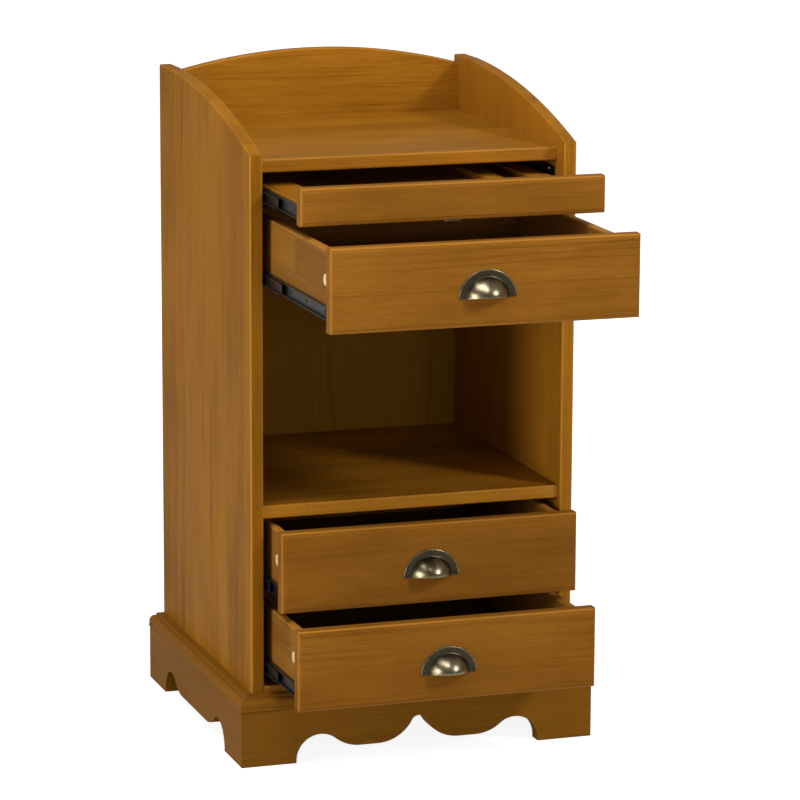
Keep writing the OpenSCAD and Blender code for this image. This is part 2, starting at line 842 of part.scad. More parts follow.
module flange_section() {
    rim = 1;
    square([flange_r - rim, flange_t]);
    square([flange_r, flange_t - rim]);
    translate([flange_r - rim, flange_t - rim]) circle(r = rim);
}

function pull_pins() = [[0, flange_r - pin_inset], [-(flange_r - pin_inset), pin_rise],
    [flange_r - pin_inset, pin_rise]];

// Shank holes of the pull's screws, in the flange and the front
module pull_shanks(i, extra) {
    for (p = pull_pins())
        rod_y([p[0], closed_y - opens[i] - flange_t - extra, pull_middle_z(i) + p[1]],
            pin_shank_l + 2 * extra, pin_shank_d + 2 * extra);
}

module drilled_pull(i) {
    difference() {
        drawer_pull(i);
        pull_shanks(i, fit);
    }
}

module drawer_pull_screws(i) {
    head_t = 1.2;
    color("darkgoldenrod") {
        pull_shanks(i, 0);
        for (p = pull_pins())
            rod_y([p[0], closed_y - opens[i] - flange_t - head_t, pull_middle_z(i) + p[1]], head_t, pin_d);
    }
}

module tray_front() {
    color("burlywood") difference() {
        front_board(tray_z, tray_front_h, tray_open);
        tray_tongue(fit);
    }
}

// Tongue along the tray board's front edge, held in the tray front
module tray_tongue(extra) {
    tongue_t = tray_t / 2;
    tongue_w = 2 * (box_x - 20);
    translate([-tongue_w / 2 - extra, front_back_y - tray_open - tongue_d - extra,
        tray_z + tray_rise + (tray_t - tongue_t) / 2 - extra])
        cube([tongue_w + 2 * extra, tongue_d + 2 * extra, tongue_t + 2 * extra]);
}

// Recess between two places across the tray
module tray_recess(x0, x1) {
    y0 = front_back_y - tray_open + recess_front;
    z0 = tray_z + tray_rise + tray_t - recess_d;
    translate([x0, y0, z0]) linear_extrude(recess_d + over) {
        translate([recess_r, 0]) square([x1 - x0 - 2 * recess_r, recess_l]);
        translate([0, recess_r]) square([x1 - x0, recess_l - 2 * recess_r]);
        for (x = [recess_r, x1 - x0 - recess_r], y = [recess_r, recess_l - recess_r])
            translate([x, y]) circle(r = recess_r);
    }
}

module tray_board() {
    color("burlywood") difference() {
        union() {
            translate([-box_x, front_back_y - tray_open, tray_z + tray_rise]) cube([2 * box_x, box_d, tray_t]);
            tray_tongue(0);
        }
        tray_recess(-recess_left, recess_right);
        tray_recess(recess_right + recess_rib, recess_right + recess_rib + pen_w);
        both_sides() place_left_drawer_rail(0) left_drawer_screws(fit);
    }
}

// Small metal finger lip under the middle of the tray front
module tray_lip() {
    color("silver") translate([-lip_w / 2, closed_y - tray_open + front_edge_r, tray_z - lip_t])
        cube([lip_w, lip_d - front_edge_r, lip_t]);
}

left_side();
right_side();
top_board();
gallery_panel();
shelf_board();
bottom_board();
back_panel();
plinth_front();
plinth_left();
plinth_right();
plinth_back();
moulding_front();
moulding_left();
moulding_right();
corner_blocks();
dowels();
carcass_screws();
outer_rails(0);  // tray_outer_rails
middle_rails(0);  // tray_middle_rails
tray_front();
tray_board();
tray_lip();
drawer_rails(0);  // tray_rails
drawer_rail_screws(0);  // tray_screws

// The three drawers are alike and differ only in their place
for (i = [1 : 3]) {
    outer_rails(i);
    middle_rails(i);
    drawer_front(i);
    drawer_left_side(i);
    drawer_right_side(i);
    drawer_back(i);
    drawer_bottom(i);
    drawer_rails(i);
    drawer_rail_screws(i);
    drawer_cams(i);
    drilled_pull(i);
    drawer_pull_screws(i);
}
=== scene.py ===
# %% [markdown]
# # A hall chest in stained pine
# This script is a lesson in cells. It builds the looks of a narrow pine chest: a pull-out tray, three drawers
# on black telescopic runners, an open space, curved sides and a shaped plinth.
# The solid parts come ready-made from a CAD model. Here they get eased edges, grain, aged brass and light.
# Shapes are given in millimetres and become Blender's metres where a mesh is made. Shaders measure in metres.

import json
import math
import random

import bmesh
import bpy
import numpy as np
from mathutils import Matrix, Vector

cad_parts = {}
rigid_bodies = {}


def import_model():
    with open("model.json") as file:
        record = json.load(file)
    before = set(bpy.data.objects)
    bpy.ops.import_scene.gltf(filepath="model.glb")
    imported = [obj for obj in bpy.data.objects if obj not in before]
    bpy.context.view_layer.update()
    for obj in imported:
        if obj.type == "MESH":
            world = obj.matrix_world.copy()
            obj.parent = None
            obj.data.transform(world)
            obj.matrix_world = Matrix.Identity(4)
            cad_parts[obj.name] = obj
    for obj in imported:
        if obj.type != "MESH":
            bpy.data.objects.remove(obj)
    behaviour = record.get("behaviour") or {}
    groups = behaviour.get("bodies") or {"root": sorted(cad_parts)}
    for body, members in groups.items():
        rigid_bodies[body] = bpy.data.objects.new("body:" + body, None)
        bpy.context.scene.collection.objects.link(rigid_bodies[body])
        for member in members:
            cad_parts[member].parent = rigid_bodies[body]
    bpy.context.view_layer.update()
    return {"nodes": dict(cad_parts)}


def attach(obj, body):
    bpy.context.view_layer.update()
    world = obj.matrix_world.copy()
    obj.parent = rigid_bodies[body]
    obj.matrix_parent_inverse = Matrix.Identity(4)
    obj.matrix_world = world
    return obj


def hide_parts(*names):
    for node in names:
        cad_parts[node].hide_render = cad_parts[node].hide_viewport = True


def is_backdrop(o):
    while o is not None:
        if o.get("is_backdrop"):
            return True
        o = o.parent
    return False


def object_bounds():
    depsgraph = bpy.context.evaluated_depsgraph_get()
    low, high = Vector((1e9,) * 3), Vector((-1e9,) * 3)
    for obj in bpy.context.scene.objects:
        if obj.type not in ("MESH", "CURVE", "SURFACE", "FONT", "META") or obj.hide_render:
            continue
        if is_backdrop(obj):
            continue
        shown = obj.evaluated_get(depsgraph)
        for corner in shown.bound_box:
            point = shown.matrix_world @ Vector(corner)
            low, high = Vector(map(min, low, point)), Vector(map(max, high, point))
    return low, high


for leftover in list(bpy.data.objects):
    bpy.data.objects.remove(leftover)
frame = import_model()

# %% [markdown]
# ## Sizes
# The chest stands on the floor at Z 0 and faces -Y. These are the same sizes that the CAD model has,
# so that each visible piece covers its CAD solid. A size that only one piece needs is named in its own cell.

# %% Sizes in millimetres
MM = 0.001                         # one millimetre in Blender's metres
HALF_W = 230.0                     # from the middle to the outside of a side panel
BOARD = 18.0                       # thickness of the side panels and the boards between them
INNER_X = HALF_W - BOARD           # inner face of a side panel
FRONT_Y, BACK_Y = -225.0, 225.0    # front and back edge of the side panels
FRONT_T = 18.0                     # thickness of a drawer front
CLOSED_Y = -217.0                  # face of a front when its drawer is closed
FRONT_BACK_Y = CLOSED_Y + FRONT_T  # back of that front
TOP_LOW = 800.0                    # lower face of the top board
TOP_Z = TOP_LOW + BOARD            # its upper face
BOTTOM_LOW = 86.0                  # lower face of the bottom board
BACK_PANEL_Y = 213.0               # front face of the thin back panel
BACK_PANEL_T = 6.0                 # its thickness
GALLERY_Y = 205.0                  # front face of the arched gallery panel
GALLERY_END_H = 69.0               # its height above the top board at its ends
GALLERY_CROWN = 28.0               # how much higher it is in the middle
PLINTH_X, PLINTH_Y = 252.0, -251.0  # outer faces of the plinth
PLINTH_T, PLINTH_H = 22.0, 76.5    # thickness and height of its boards
FRONT_W, FRONT_H = 419.0, 110.0    # a drawer front
BOX_X = 199.5                      # outer face of a drawer's side
BOX_D = 400.0                      # depth of a drawer box and of the tray
DRAWERS = ("drawer_1", "drawer_2", "drawer_3")
# For each sliding unit: how far it stands open, the lower edge of its front and its runners' middle line.
OPENS = {"tray": 169.0, "drawer_1": 295.0, "drawer_2": 82.0, "drawer_3": 156.5}
FRONTS_Z = {"tray": 756.0, "drawer_1": 638.5, "drawer_2": 222.5, "drawer_3": 107.5}
LEVELS = {"tray": 771.0, "drawer_1": 660.2, "drawer_2": 244.2, "drawer_3": 129.2}
print("chest:", 2 * HALF_W, "mm across the sides,", GALLERY_END_H + GALLERY_CROWN + TOP_Z, "mm high")

# %% [markdown]
# ## Small modelling tools
# A solid is built from loops: rings of points that are joined by quads and closed by a face at each end.
# An extruded board needs two loops, a moulded drawer front about ten.
# `ease` rounds chosen edges the way a router does. It also marks the new faces in a layer called `edge`,
# so that the wood's shader paints them paler, as a painted highlight. The bands of a solid can be marked in
# the same layer.

# %% Loops, outlines and eased edges
def solid_from_loops(loops, with_painted_light=None):
    """A closed mesh from rings of equally many points, in mm. with_painted_light: how much painted highlight
    some of the bands get.
    """
    bm = bmesh.new()
    painted_light_mark = bm.faces.layers.float.new("edge")
    rings = [[bm.verts.new(Vector(p) * MM) for p in loop] for loop in loops]
    count = len(rings[0])
    for band, (low, high) in enumerate(zip(rings, rings[1:])):
        for i in range(count):
            j = (i + 1) % count
            face = bm.faces.new((low[i], low[j], high[j], high[i]))
            face[painted_light_mark] = (with_painted_light or {}).get(band, 0.0)
    bm.faces.new(rings[0][::-1])
    bm.faces.new(rings[-1])
    bmesh.ops.recalc_face_normals(bm, faces=bm.faces[:])
    return bm


def block(low, high):
    """A plain box between two corners."""
    (x0, y0, z0), (x1, y1, z1) = low, high
    ring = [(x0, y0), (x1, y0), (x1, y1), (x0, y1)]
    return solid_from_loops([[(x, y, z0) for x, y in ring], [(x, y, z1) for x, y in ring]])


def prism(outline, axis, start, end):
    """Extrudes an outline along an axis. Its two coordinates are the other two axes, in X, Y, Z order."""
    put = {"x": lambda a, b, t: (t, a, b),
           "y": lambda a, b, t: (a, t, b),
           "z": lambda a, b, t: (a, b, t)}[axis]
    return solid_from_loops([[put(a, b, t) for a, b in outline] for t in (start, end)])


def ease(bm, wanted, radius, segments=3):
    """Rounds each edge for which wanted(m, d, e) is true: its middle in mm, its direction and the edge."""
    chosen = []
    for edge in bm.edges:
        a, b = (v.co / MM for v in edge.verts)
        if (b - a).length > 1e-4 and wanted((a + b) / 2, (b - a).normalized(), edge):
            chosen.append(edge)
    if chosen:
        made = bmesh.ops.bevel(bm, geom=chosen, offset=radius * MM, segments=segments, profile=0.5,
                               affect="EDGES", clamp_overlap=True)
        painted_light_mark = bm.faces.layers.float["edge"]
        # every rounded face gets the full painted highlight in the edge layer
        for face in made["faces"]:
            face[painted_light_mark] = 1.0


def is_sharp(edge, degrees=30):
    """True where two faces of the mesh meet at a real corner."""
    return len(edge.link_faces) == 2 and edge.calc_face_angle(0) > math.radians(degrees)


def arc(cx, cy, r, start, end, steps):
    """Points on an arc, angles in degrees."""
    return [(cx + r * math.cos(math.radians(start + (end - start) * i / steps)),
             cy + r * math.sin(math.radians(start + (end - start) * i / steps))) for i in range(steps + 1)]


def rounded_rectangle(x0, x1, y0, y1, r, steps=6):
    """Points round a rectangle whose corners have radius r."""
    centres = ((x1 - r, y1 - r), (x0 + r, y1 - r), (x0 + r, y0 + r), (x1 - r, y0 + r))
    ring = []
    for quarter, (cx, cy) in enumerate(centres):
        ring += arc(cx, cy, r, 90 * quarter, 90 * quarter + 90, steps)
    return ring


# %% [markdown]
# ## Board coordinates for the grain
# Wood grain follows the board and not the room. Each piece gets a vector attribute called `grain`:
# X runs across the board's face, Y through its thickness and Z along its fibres, in metres.
# A seed shifts every board to another place in the imaginary tree, so that no two look alike.

# %% The grain attribute
AXES = {"x": 0, "y": 1, "z": 2}
TREE_LENGTH = 40.0  # boards are cut up to this far, in metres, on either side of the tree's origin


def set_grain(mesh, along, across, seed):
    """Writes the grain attribute of one board from its vertex positions."""
    co = np.zeros(len(mesh.vertices) * 3)
    mesh.vertices.foreach_get("co", co)
    co = co.reshape(-1, 3)
    through = ({"x", "y", "z"} - {along, across}).pop()
    pick = random.Random(seed)
    turned = np.stack([co[:, AXES[across]], co[:, AXES[through]], co[:, AXES[along]]], axis=1)
    turned -= (turned.min(axis=0) + turned.max(axis=0)) / 2
    turned[:, 2] *= pick.choice((-1.0, 1.0))
    turned += np.array([0.0, 0.0, pick.uniform(-TREE_LENGTH, TREE_LENGTH)])
    layer = mesh.attributes.get("grain") or mesh.attributes.new("grain", "FLOAT_VECTOR", "POINT")
    layer.data.foreach_set("vector", turned.astype(np.float32).ravel())
    mark = mesh.attributes.get("board") or mesh.attributes.new("board", "FLOAT", "POINT")
    mark.data.foreach_set("value", np.full(len(mesh.vertices), pick.random(), np.float32))


# %% [markdown]
# ## From a mesh to a finished piece
# Modifiers finish a shape: Weighted Normal keeps flat faces flat beside their rounded edges, Boolean cuts
# holes. `bake` applies them and leaves a plain mesh, which rides on the CAD body that carries the real piece.

# %% The piece maker
def bake(obj):
    """Applies what the modifiers do and leaves a plain mesh."""
    graph = bpy.context.evaluated_depsgraph_get()
    shape = obj.evaluated_get(graph)
    done = bpy.data.meshes.new_from_object(shape, preserve_all_data_layers=True, depsgraph=graph)
    obj.modifiers.clear()
    obj.data = done


def link_mesh(name, bm):
    """Makes an object of a bmesh and puts it in the scene."""
    mesh = bpy.data.meshes.new(name)
    bm.to_mesh(mesh)
    bm.free()
    obj = bpy.data.objects.new(name, mesh)
    bpy.context.scene.collection.objects.link(obj)
    return obj


def carve(obj, cutters):
    """Cuts the cutters' shapes out of an object and deletes the cutters."""
    for cutter in cutters:
        cut = obj.modifiers.new("Cut", "BOOLEAN")
        cut.operation, cut.solver, cut.object = "DIFFERENCE", "EXACT", cutter
    bake(obj)
    for cutter in cutters:
        bpy.data.objects.remove(cutter)


def piece(name, bm, body, material, stands_for, grain=None, sharp=40):
    """Turns a bmesh into a finished piece of the chest that rides on a CAD body."""
    obj = link_mesh(name, bm)
    obj.data.shade_smooth()
    obj.data.set_sharp_from_angle(angle=math.radians(sharp))
    even = obj.modifiers.new("Even normals", "WEIGHTED_NORMAL")
    even.keep_sharp = True
    bake(obj)
    obj.data.name = name
    obj.data.materials.clear()
    obj.data.materials.append(material)
    if grain:
        set_grain(obj.data, grain[0], grain[1], name)
    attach(obj, body)
    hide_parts(*stands_for)
    return obj


# %% [markdown]
# ## Painted light and shade on faces
# Two face layers tell the wood's shader where light and shade are painted: `edge` faces get a paler colour as
# painted light and highlight, and more clear coat; faces of the other layer get the dark stain as painted
# shade. A layer saves one more material.

# %% Mark faces
def faces_front(centre, normal):
    return normal.y < -0.9


def mark_faces(obj, layer, amount, wanted=faces_front):
    """Writes a face layer where wanted(centre of the face in mm, its normal) is true."""
    mark = obj.data.attributes.get(layer) or obj.data.attributes.new(layer, "FLOAT", "FACE")
    for face, value in zip(obj.data.polygons, mark.data):
        if wanted(face.center / MM, face.normal):
            value.value = amount


# %% [markdown]
# ## Shader tools
# Node trees are quicker to read when each line makes one node. `Tree` keeps the tree, places the nodes from
# left to right and joins sockets by name.

# %% A small helper for node trees
class Tree:
    def __init__(self, tree):
        self.tree, self.column = tree, 0
        tree.nodes.clear()

    def node(self, kind, inputs=None, **settings):
        """Makes a node: inputs are values or sockets to join, settings are the node's own properties."""
        made = self.tree.nodes.new(kind)
        made.location = (self.column * 190, -(self.column % 3) * 160)
        self.column += 1
        for key, value in settings.items():
            setattr(made, key, value)
        for key, value in (inputs or {}).items():
            self.put(made.inputs[key], value)
        return made

    def put(self, socket, value):
        """Joins a socket or a node to the socket, or writes a plain value into it."""
        if isinstance(value, bpy.types.NodeSocket):
            self.tree.links.new(value, socket)
        elif isinstance(value, bpy.types.Node):
            self.tree.links.new(value.outputs[0], socket)
        else:
            socket.default_value = value

    def math(self, operation, a, b=0.0, c=0.0, clamp=False):
        made = self.node("ShaderNodeMath", {0: a, 1: b, 2: c}, operation=operation, use_clamp=clamp)
        return made.outputs[0]

    def clamp(self, value):
        return self.math("ADD", value, 0.0, clamp=True)

    def centred(self, value):
        """Moves a noise of 0 to 1 so that it swings about 0."""
        return self.math("SUBTRACT", value, 0.5)

    def length(self, vector):
        return self.node("ShaderNodeVectorMath", {0: vector}, operation="LENGTH").outputs["Value"]

    def noise(self, vector, scale, detail=2.0, rough=0.5, distortion=0.0):
        return self.node("ShaderNodeTexNoise", {"Vector": vector, "Scale": scale, "Detail": detail,
                                                "Roughness": rough, "Distortion": distortion})

    def span(self, value, low, high, to_low=0.0, to_high=1.0, smooth=True):
        """Maps the range low to high onto to_low to to_high."""
        kind = "SMOOTHSTEP" if smooth else "LINEAR"
        ends = {"Value": value, "From Min": low, "From Max": high, "To Min": to_low, "To Max": to_high}
        return self.node("ShaderNodeMapRange", ends, interpolation_type=kind).outputs[0]

    def mix(self, factor, a, b):
        made = self.node("ShaderNodeMix", data_type="RGBA")
        for socket, value in ((0, factor), (6, a), (7, b)):
            self.put(made.inputs[socket], value)
        return made.outputs[2]

    def attribute(self, name):
        """Reads a number that the mesh stores under this name."""
        return self.node("ShaderNodeAttribute", attribute_name=name).outputs["Fac"]


# %% [markdown]
# A group is made once and used in many materials, each with its own values. `group_tree` gives a group its
# named sockets, and `material_tree` starts a material with a Principled shader.

# %% Groups and materials
FLOAT, COLOR = "NodeSocketFloat", "NodeSocketColor"


def group_tree(name, inputs, outputs, kind="ShaderNodeTree"):
    """An empty node group. Inputs are (name, socket type, default), outputs (name, socket type)."""
    tree = bpy.data.node_groups.new(name, kind)
    for label, socket, default in inputs:
        made = tree.interface.new_socket(name=label, in_out="INPUT", socket_type=socket)
        if default is not None:
            made.default_value = default
    for label, socket in outputs:
        tree.interface.new_socket(name=label, in_out="OUTPUT", socket_type=socket)
    return tree


def material_tree(name):
    """A new material with its output node and a Principled shader wired in."""
    material = bpy.data.materials.new(name)
    material.use_nodes = True
    t = Tree(material.node_tree)
    shader = t.node("ShaderNodeBsdfPrincipled")
    t.node("ShaderNodeOutputMaterial", {"Surface": shader})
    return material, t, shader


# %% [markdown]
# ## The grain of pine
# A board is a slice through rings around the tree's heart, so the pattern is worked out in the tree and the
# board only looks it up. Wide boards are glued from strips, long thin ones from short blocks with toothed
# ends. Each strip gets three random numbers, which send it to its own place in the tree.

# %% Node group: Pine grain, from the board to the tree
grain_tree = group_tree("Pine grain", [
    ("Light", COLOR, (0.5, 0.25, 0.08, 1)), ("Dark", COLOR, (0.3, 0.12, 0.03, 1)),
    ("Strip width", FLOAT, 0.09), ("Block length", FLOAT, 1000.0), ("Ring spacing", FLOAT, 0.005),
    ("Ring strength", FLOAT, 0.3), ("Wander", FLOAT, 0.012), ("Streak strength", FLOAT, 0.5),
    ("Line strength", FLOAT, 0.2), ("Fibre strength", FLOAT, 0.3), ("Fleck strength", FLOAT, 0.4),
    ("Speck strength", FLOAT, 0.3), ("Tone change", FLOAT, 0.3), ("Strip change", FLOAT, 0.1)],
    [("Color", COLOR), ("Height", FLOAT), ("Ring", FLOAT)])
t = Tree(grain_tree)
ins = t.node("NodeGroupInput").outputs
place = t.node("ShaderNodeAttribute", attribute_name="grain").outputs["Vector"]
board = t.attribute("board")
x, y, z = t.node("ShaderNodeSeparateXYZ", {0: place}).outputs
edge_wave = t.math("MULTIPLY", t.centred(board), ins["Strip width"])
strip_at = t.math("DIVIDE", t.math("ADD", x, edge_wave), ins["Strip width"])
teeth = t.math("PINGPONG", x, 0.004)
block_at = t.math("DIVIDE", t.math("ADD", t.math("MULTIPLY_ADD", teeth, 2.0, z), 50.0), ins["Block length"])
strip = t.math("ADD", t.math("FLOOR", strip_at), t.math("MULTIPLY", board, 91.0))
strip = t.math("MULTIPLY_ADD", t.math("FLOOR", block_at), 17.0, strip)
chance = t.node("ShaderNodeTexWhiteNoise", {"W": strip}, noise_dimensions="1D").outputs["Color"]
r1, r2, r3 = t.node("ShaderNodeSeparateXYZ", {0: chance}).outputs
along = t.math("ADD", z, t.math("MULTIPLY", r1, 13.0))


def stretched(across, lengthways):
    """A place for a noise: features per metre across the fibres and along them."""
    return t.node("ShaderNodeCombineXYZ", {0: t.math("MULTIPLY", x, across), 1: t.math("MULTIPLY", y, across),
                                           2: t.math("MULTIPLY", along, lengthways)})


# %% [markdown]
# ### Rings
# The rings come from the distance to the tree's heart, which wanders slowly along the fibres. A noise of that
# distance changes their spacing, and a random number per ring makes some strong and most of them faint.
# A ring is soft on its early side and ends sharply, as summer wood does.

# %% Node group: Pine grain, the rings
slow = t.noise(stretched(7.0, 1.7), 1.0, 2.0, 0.45).outputs["Color"]
slow_x, slow_y, _ = t.node("ShaderNodeSeparateXYZ", {0: slow}).outputs
sway_x = t.math("MULTIPLY", t.centred(slow_x), t.math("MULTIPLY", ins["Wander"], 2.0))
sway_y = t.math("MULTIPLY", t.centred(slow_y), t.math("MULTIPLY", ins["Wander"], 2.0))
local = t.math("MULTIPLY", t.centred(t.math("FRACT", strip_at)), ins["Strip width"])
dx = t.math("SUBTRACT", t.math("ADD", local, sway_x), t.math("MULTIPLY", t.centred(r2), 0.09))
dy = t.math("ADD", t.math("ADD", y, sway_y), t.math("MULTIPLY_ADD", r3, 0.05, 0.035))
radius = t.math("SQRT", t.math("ADD", t.math("MULTIPLY", dx, dx), t.math("MULTIPLY", dy, dy)))
even_rings = t.math("DIVIDE", radius, ins["Ring spacing"])
crowd = t.node("ShaderNodeTexNoise", {"W": t.math("MULTIPLY", even_rings, 0.31), "Scale": 1.0, "Detail": 2.0},
               noise_dimensions="1D").outputs[0]
ripple = t.noise(stretched(60.0, 6.0), 1.0, 2.0).outputs["Fac"]
ring_at = t.math("MULTIPLY_ADD", t.centred(crowd), 3.4, t.math("MULTIPLY_ADD", ripple, 0.9, even_rings))
phase = t.math("FRACT", ring_at)
number = t.math("ADD", t.math("FLOOR", ring_at), t.math("MULTIPLY", board, 37.0))
luck = t.node("ShaderNodeTexWhiteNoise", {"W": number}, noise_dimensions="1D").outputs["Value"]
ring = t.math("MULTIPLY", t.span(phase, 0.45, 0.92), t.span(phase, 1.0, 0.95))
ring = t.math("MULTIPLY", ring, t.span(luck, 0.15, 1.0, 0.1, 1.0, smooth=False))
patchy = t.noise(stretched(22.0, 3.0), 1.0, 1.0).outputs["Fac"]
ring = t.math("MULTIPLY", ring, t.span(patchy, 0.35, 0.65, 0.3, 1.0))

# %% [markdown]
# ### Finer marks
# Over the rings lie broad streaks, sharp thin lines, fine fibres, short flecks, slow changes of tone and
# a few pin specks. All but the specks are noises that are stretched along the fibres by different amounts.
# The last two lines draw the dark glue lines between the strips.

# %% Node group: Pine grain, the finer marks
streak = t.centred(t.noise(stretched(170.0, 6.5), 1.0, 4.0, 0.66, 0.6).outputs["Fac"])
fibre = t.centred(t.noise(stretched(400.0, 34.0), 1.0, 4.0, 0.75, 0.3).outputs["Fac"])
fleck = t.span(t.noise(stretched(800.0, 95.0), 1.0, 1.0).outputs["Fac"], 0.66, 0.80)
line = t.span(t.noise(stretched(380.0, 5.5), 1.0, 2.0, 0.6, 0.3).outputs["Fac"], 0.60, 0.70)
tone = t.centred(t.noise(stretched(15.0, 5.0), 1.0, 3.0).outputs["Fac"])
cell_x, cell_z = t.math("MULTIPLY", x, 38.0), t.math("MULTIPLY", along, 26.0)
specks_at = t.node("ShaderNodeCombineXYZ", {0: cell_x, 1: cell_z})
cells = t.node("ShaderNodeTexVoronoi", {"Vector": specks_at, "Scale": 1.0}, voronoi_dimensions="2D")
rare = t.math("GREATER_THAN", t.node("ShaderNodeSeparateXYZ", {0: cells.outputs["Color"]}).outputs[0], 0.78)
speck = t.math("MULTIPLY", rare, t.span(cells.outputs["Distance"], 0.018, 0.045, 1.0, 0.0))
glue_far = t.math("ABSOLUTE", t.centred(t.math("FRACT", t.math("ADD", strip_at, 0.5))))
glue = t.span(t.math("MULTIPLY", glue_far, ins["Strip width"]), 0.0, 0.0006, 1.0, 0.0)

# %% [markdown]
# ### Shade and relief
# Every mark adds to one shade, which goes from the light stain to the dark one. Fibres stand a little proud
# of the surface, rings and flecks lie lower, and that height feeds the bump of each wood.

# %% Node group: Pine grain, put together
shade = t.math("MULTIPLY_ADD", glue, 0.08, 0.30)
marks = {"Ring strength": ring, "Streak strength": streak, "Fibre strength": fibre, "Fleck strength": fleck,
         "Line strength": line, "Speck strength": speck, "Tone change": tone, "Strip change": t.centred(r1)}
for strength, mark in marks.items():
    shade = t.math("MULTIPLY_ADD", mark, ins[strength], shade)
colour = t.mix(t.clamp(shade), ins["Light"], ins["Dark"])
hollows = t.math("ADD", t.math("MULTIPLY", ring, 0.2), t.math("MULTIPLY", fleck, 0.4))
height = t.math("SUBTRACT", t.math("MULTIPLY", fibre, 0.35), hollows)
t.node("NodeGroupOutput", {"Color": colour, "Height": height, "Ring": ring})
print("Pine grain group:", len(grain_tree.nodes), "nodes")

# %% [markdown]
# ## Rubbed patina
# The cup pulls are brass that was darkened and then rubbed: high places shine, low places stay brown.
# This group mixes two metals by a noise and by the vertex attribute `worn`, which the pulls' cell writes.

# %% Node group: Rubbed patina
patina_tree = group_tree("Rubbed patina", [
    ("Bright", COLOR, (0.6, 0.5, 0.35, 1)), ("Dark", COLOR, (0.06, 0.045, 0.03, 1)), ("Rub", FLOAT, 0.5),
    ("Mottle scale", FLOAT, 160.0)],
    [("Color", COLOR), ("Roughness", FLOAT), ("Height", FLOAT)])
t = Tree(patina_tree)
ins = t.node("NodeGroupInput").outputs
where = t.node("ShaderNodeTexCoord").outputs["Object"]
mottle = t.noise(where, ins["Mottle scale"], 4.0, 0.6).outputs["Fac"]
grainy = t.noise(where, 2400.0, 2.0, 0.5).outputs["Fac"]
handled = t.math("MULTIPLY_ADD", t.attribute("worn"), 0.9, t.centred(ins["Rub"]))
share = t.clamp(t.math("MULTIPLY_ADD", t.centred(mottle), 1.1, handled))
rough = t.math("MULTIPLY_ADD", share, -0.12, t.math("MULTIPLY_ADD", grainy, 0.10, 0.32))
t.node("NodeGroupOutput", {"Color": t.mix(share, ins["Dark"], ins["Bright"]), "Roughness": rough,
                           "Height": t.math("ADD", mottle, t.math("MULTIPLY", grainy, 0.3))})
print("Rubbed patina group:", len(patina_tree.nodes), "nodes")

# %% [markdown]
# ## The materials
# One recipe makes all the woods. A stained board is nearly matt under a thin clear coat, and its specular
# level is very low, because a pale room would lay a haze over the brown. The boards that lie flat are waxed.

# %% The recipe for wood
EDGE_POLISH = 0.10   # how much more clear coat a face of the edge layer has
PAINTED_LIGHT_SHARE = 0.34    # how far a face of the edge layer is painted towards the pale colour, as painted light
PAINTED_LIGHT_PALE = 1.5      # how much paler than the light stain that painted light colour is
UNEVEN_GLOSS = 0.16  # how much smears change the roughness
PORES = 0.0004       # depth of the grain's relief, in metres


def wood(name, light, dark, rough=0.42, coat=0.03, bump=0.12, **grain_values):
    """A wood material. grain_values are the grain group's inputs, with _ for a space."""
    material, t, shader = material_tree(name)
    values = {"Light": (*light, 1), "Dark": (*dark, 1)}
    values.update({key.replace("_", " ").capitalize(): value for key, value in grain_values.items()})
    grain = t.node("ShaderNodeGroup", values, node_tree=grain_tree)
    smear = t.noise(t.node("ShaderNodeTexCoord").outputs["Object"], 9.0, 3.0, 0.6).outputs["Fac"]
    # The edge layer paints a paler colour as painted light and painted highlight. The second face layer
    # paints the dark stain as painted shade.
    edge = t.attribute("edge")
    painted_light = (*[PAINTED_LIGHT_PALE * v for v in light], 1)
    with_painted_light = t.mix(t.math("MULTIPLY", edge, PAINTED_LIGHT_SHARE), grain.outputs["Color"], painted_light)
    t.put(shader.inputs["Base Color"], t.mix(t.attribute("painted_shade"), with_painted_light, (*dark, 1)))
    ring_gloss = t.math("MULTIPLY_ADD", grain.outputs["Ring"], -0.05, rough)
    t.put(shader.inputs["Roughness"], t.math("MULTIPLY_ADD", t.centred(smear), UNEVEN_GLOSS, ring_gloss))
    relief = {"Strength": bump, "Distance": PORES, "Height": grain.outputs["Height"]}
    t.put(shader.inputs["Normal"], t.node("ShaderNodeBump", relief))
    t.put(shader.inputs["Coat Weight"], t.math("MULTIPLY_ADD", edge, EDGE_POLISH, coat))
    t.put(shader.inputs["Coat Roughness"], 0.28)
    t.put(shader.inputs["Coat IOR"], 1.45)
    t.put(shader.inputs["Specular IOR Level"], 0.015)
    t.put(shader.inputs["Specular Tint"], (1.0, 0.84, 0.5, 1))
    return material


# %% [markdown]
# Each wood is one call. The panels and cross boards are glued from strips. The plinth and the drawer fronts
# are whole boards, and the drawer boxes are made of short blocks, whose joints show as changes of tone.

# %% Wood materials
LIGHT_STAIN, DARK_STAIN = (0.395, 0.160, 0.0125), (0.187, 0.068, 0.0040)
GLUED_BOARD = dict(
    Strip_width=0.085, Ring_spacing=0.0055, Ring_strength=0.6, Streak_strength=1.0, Line_strength=0.45,
    Fibre_strength=0.9, Fleck_strength=0.3, Speck_strength=0.3, Tone_change=1.3, Strip_change=0.35,
    Wander=0.010)
stained = wood("Stained pine", LIGHT_STAIN, DARK_STAIN, **GLUED_BOARD)
waxed = wood("Stained pine, waxed tops", LIGHT_STAIN, DARK_STAIN, coat=0.32, **GLUED_BOARD)
base_stained = wood(
    "Stained pine, base", (0.28, 0.115, 0.0110), (0.13, 0.042, 0.0030),
    Strip_width=0.4, Ring_spacing=0.006, Ring_strength=0.2, Streak_strength=0.7, Fibre_strength=0.5,
    Fleck_strength=0.2, Speck_strength=0.5, Tone_change=0.6, Strip_change=0.0, Wander=0.012)
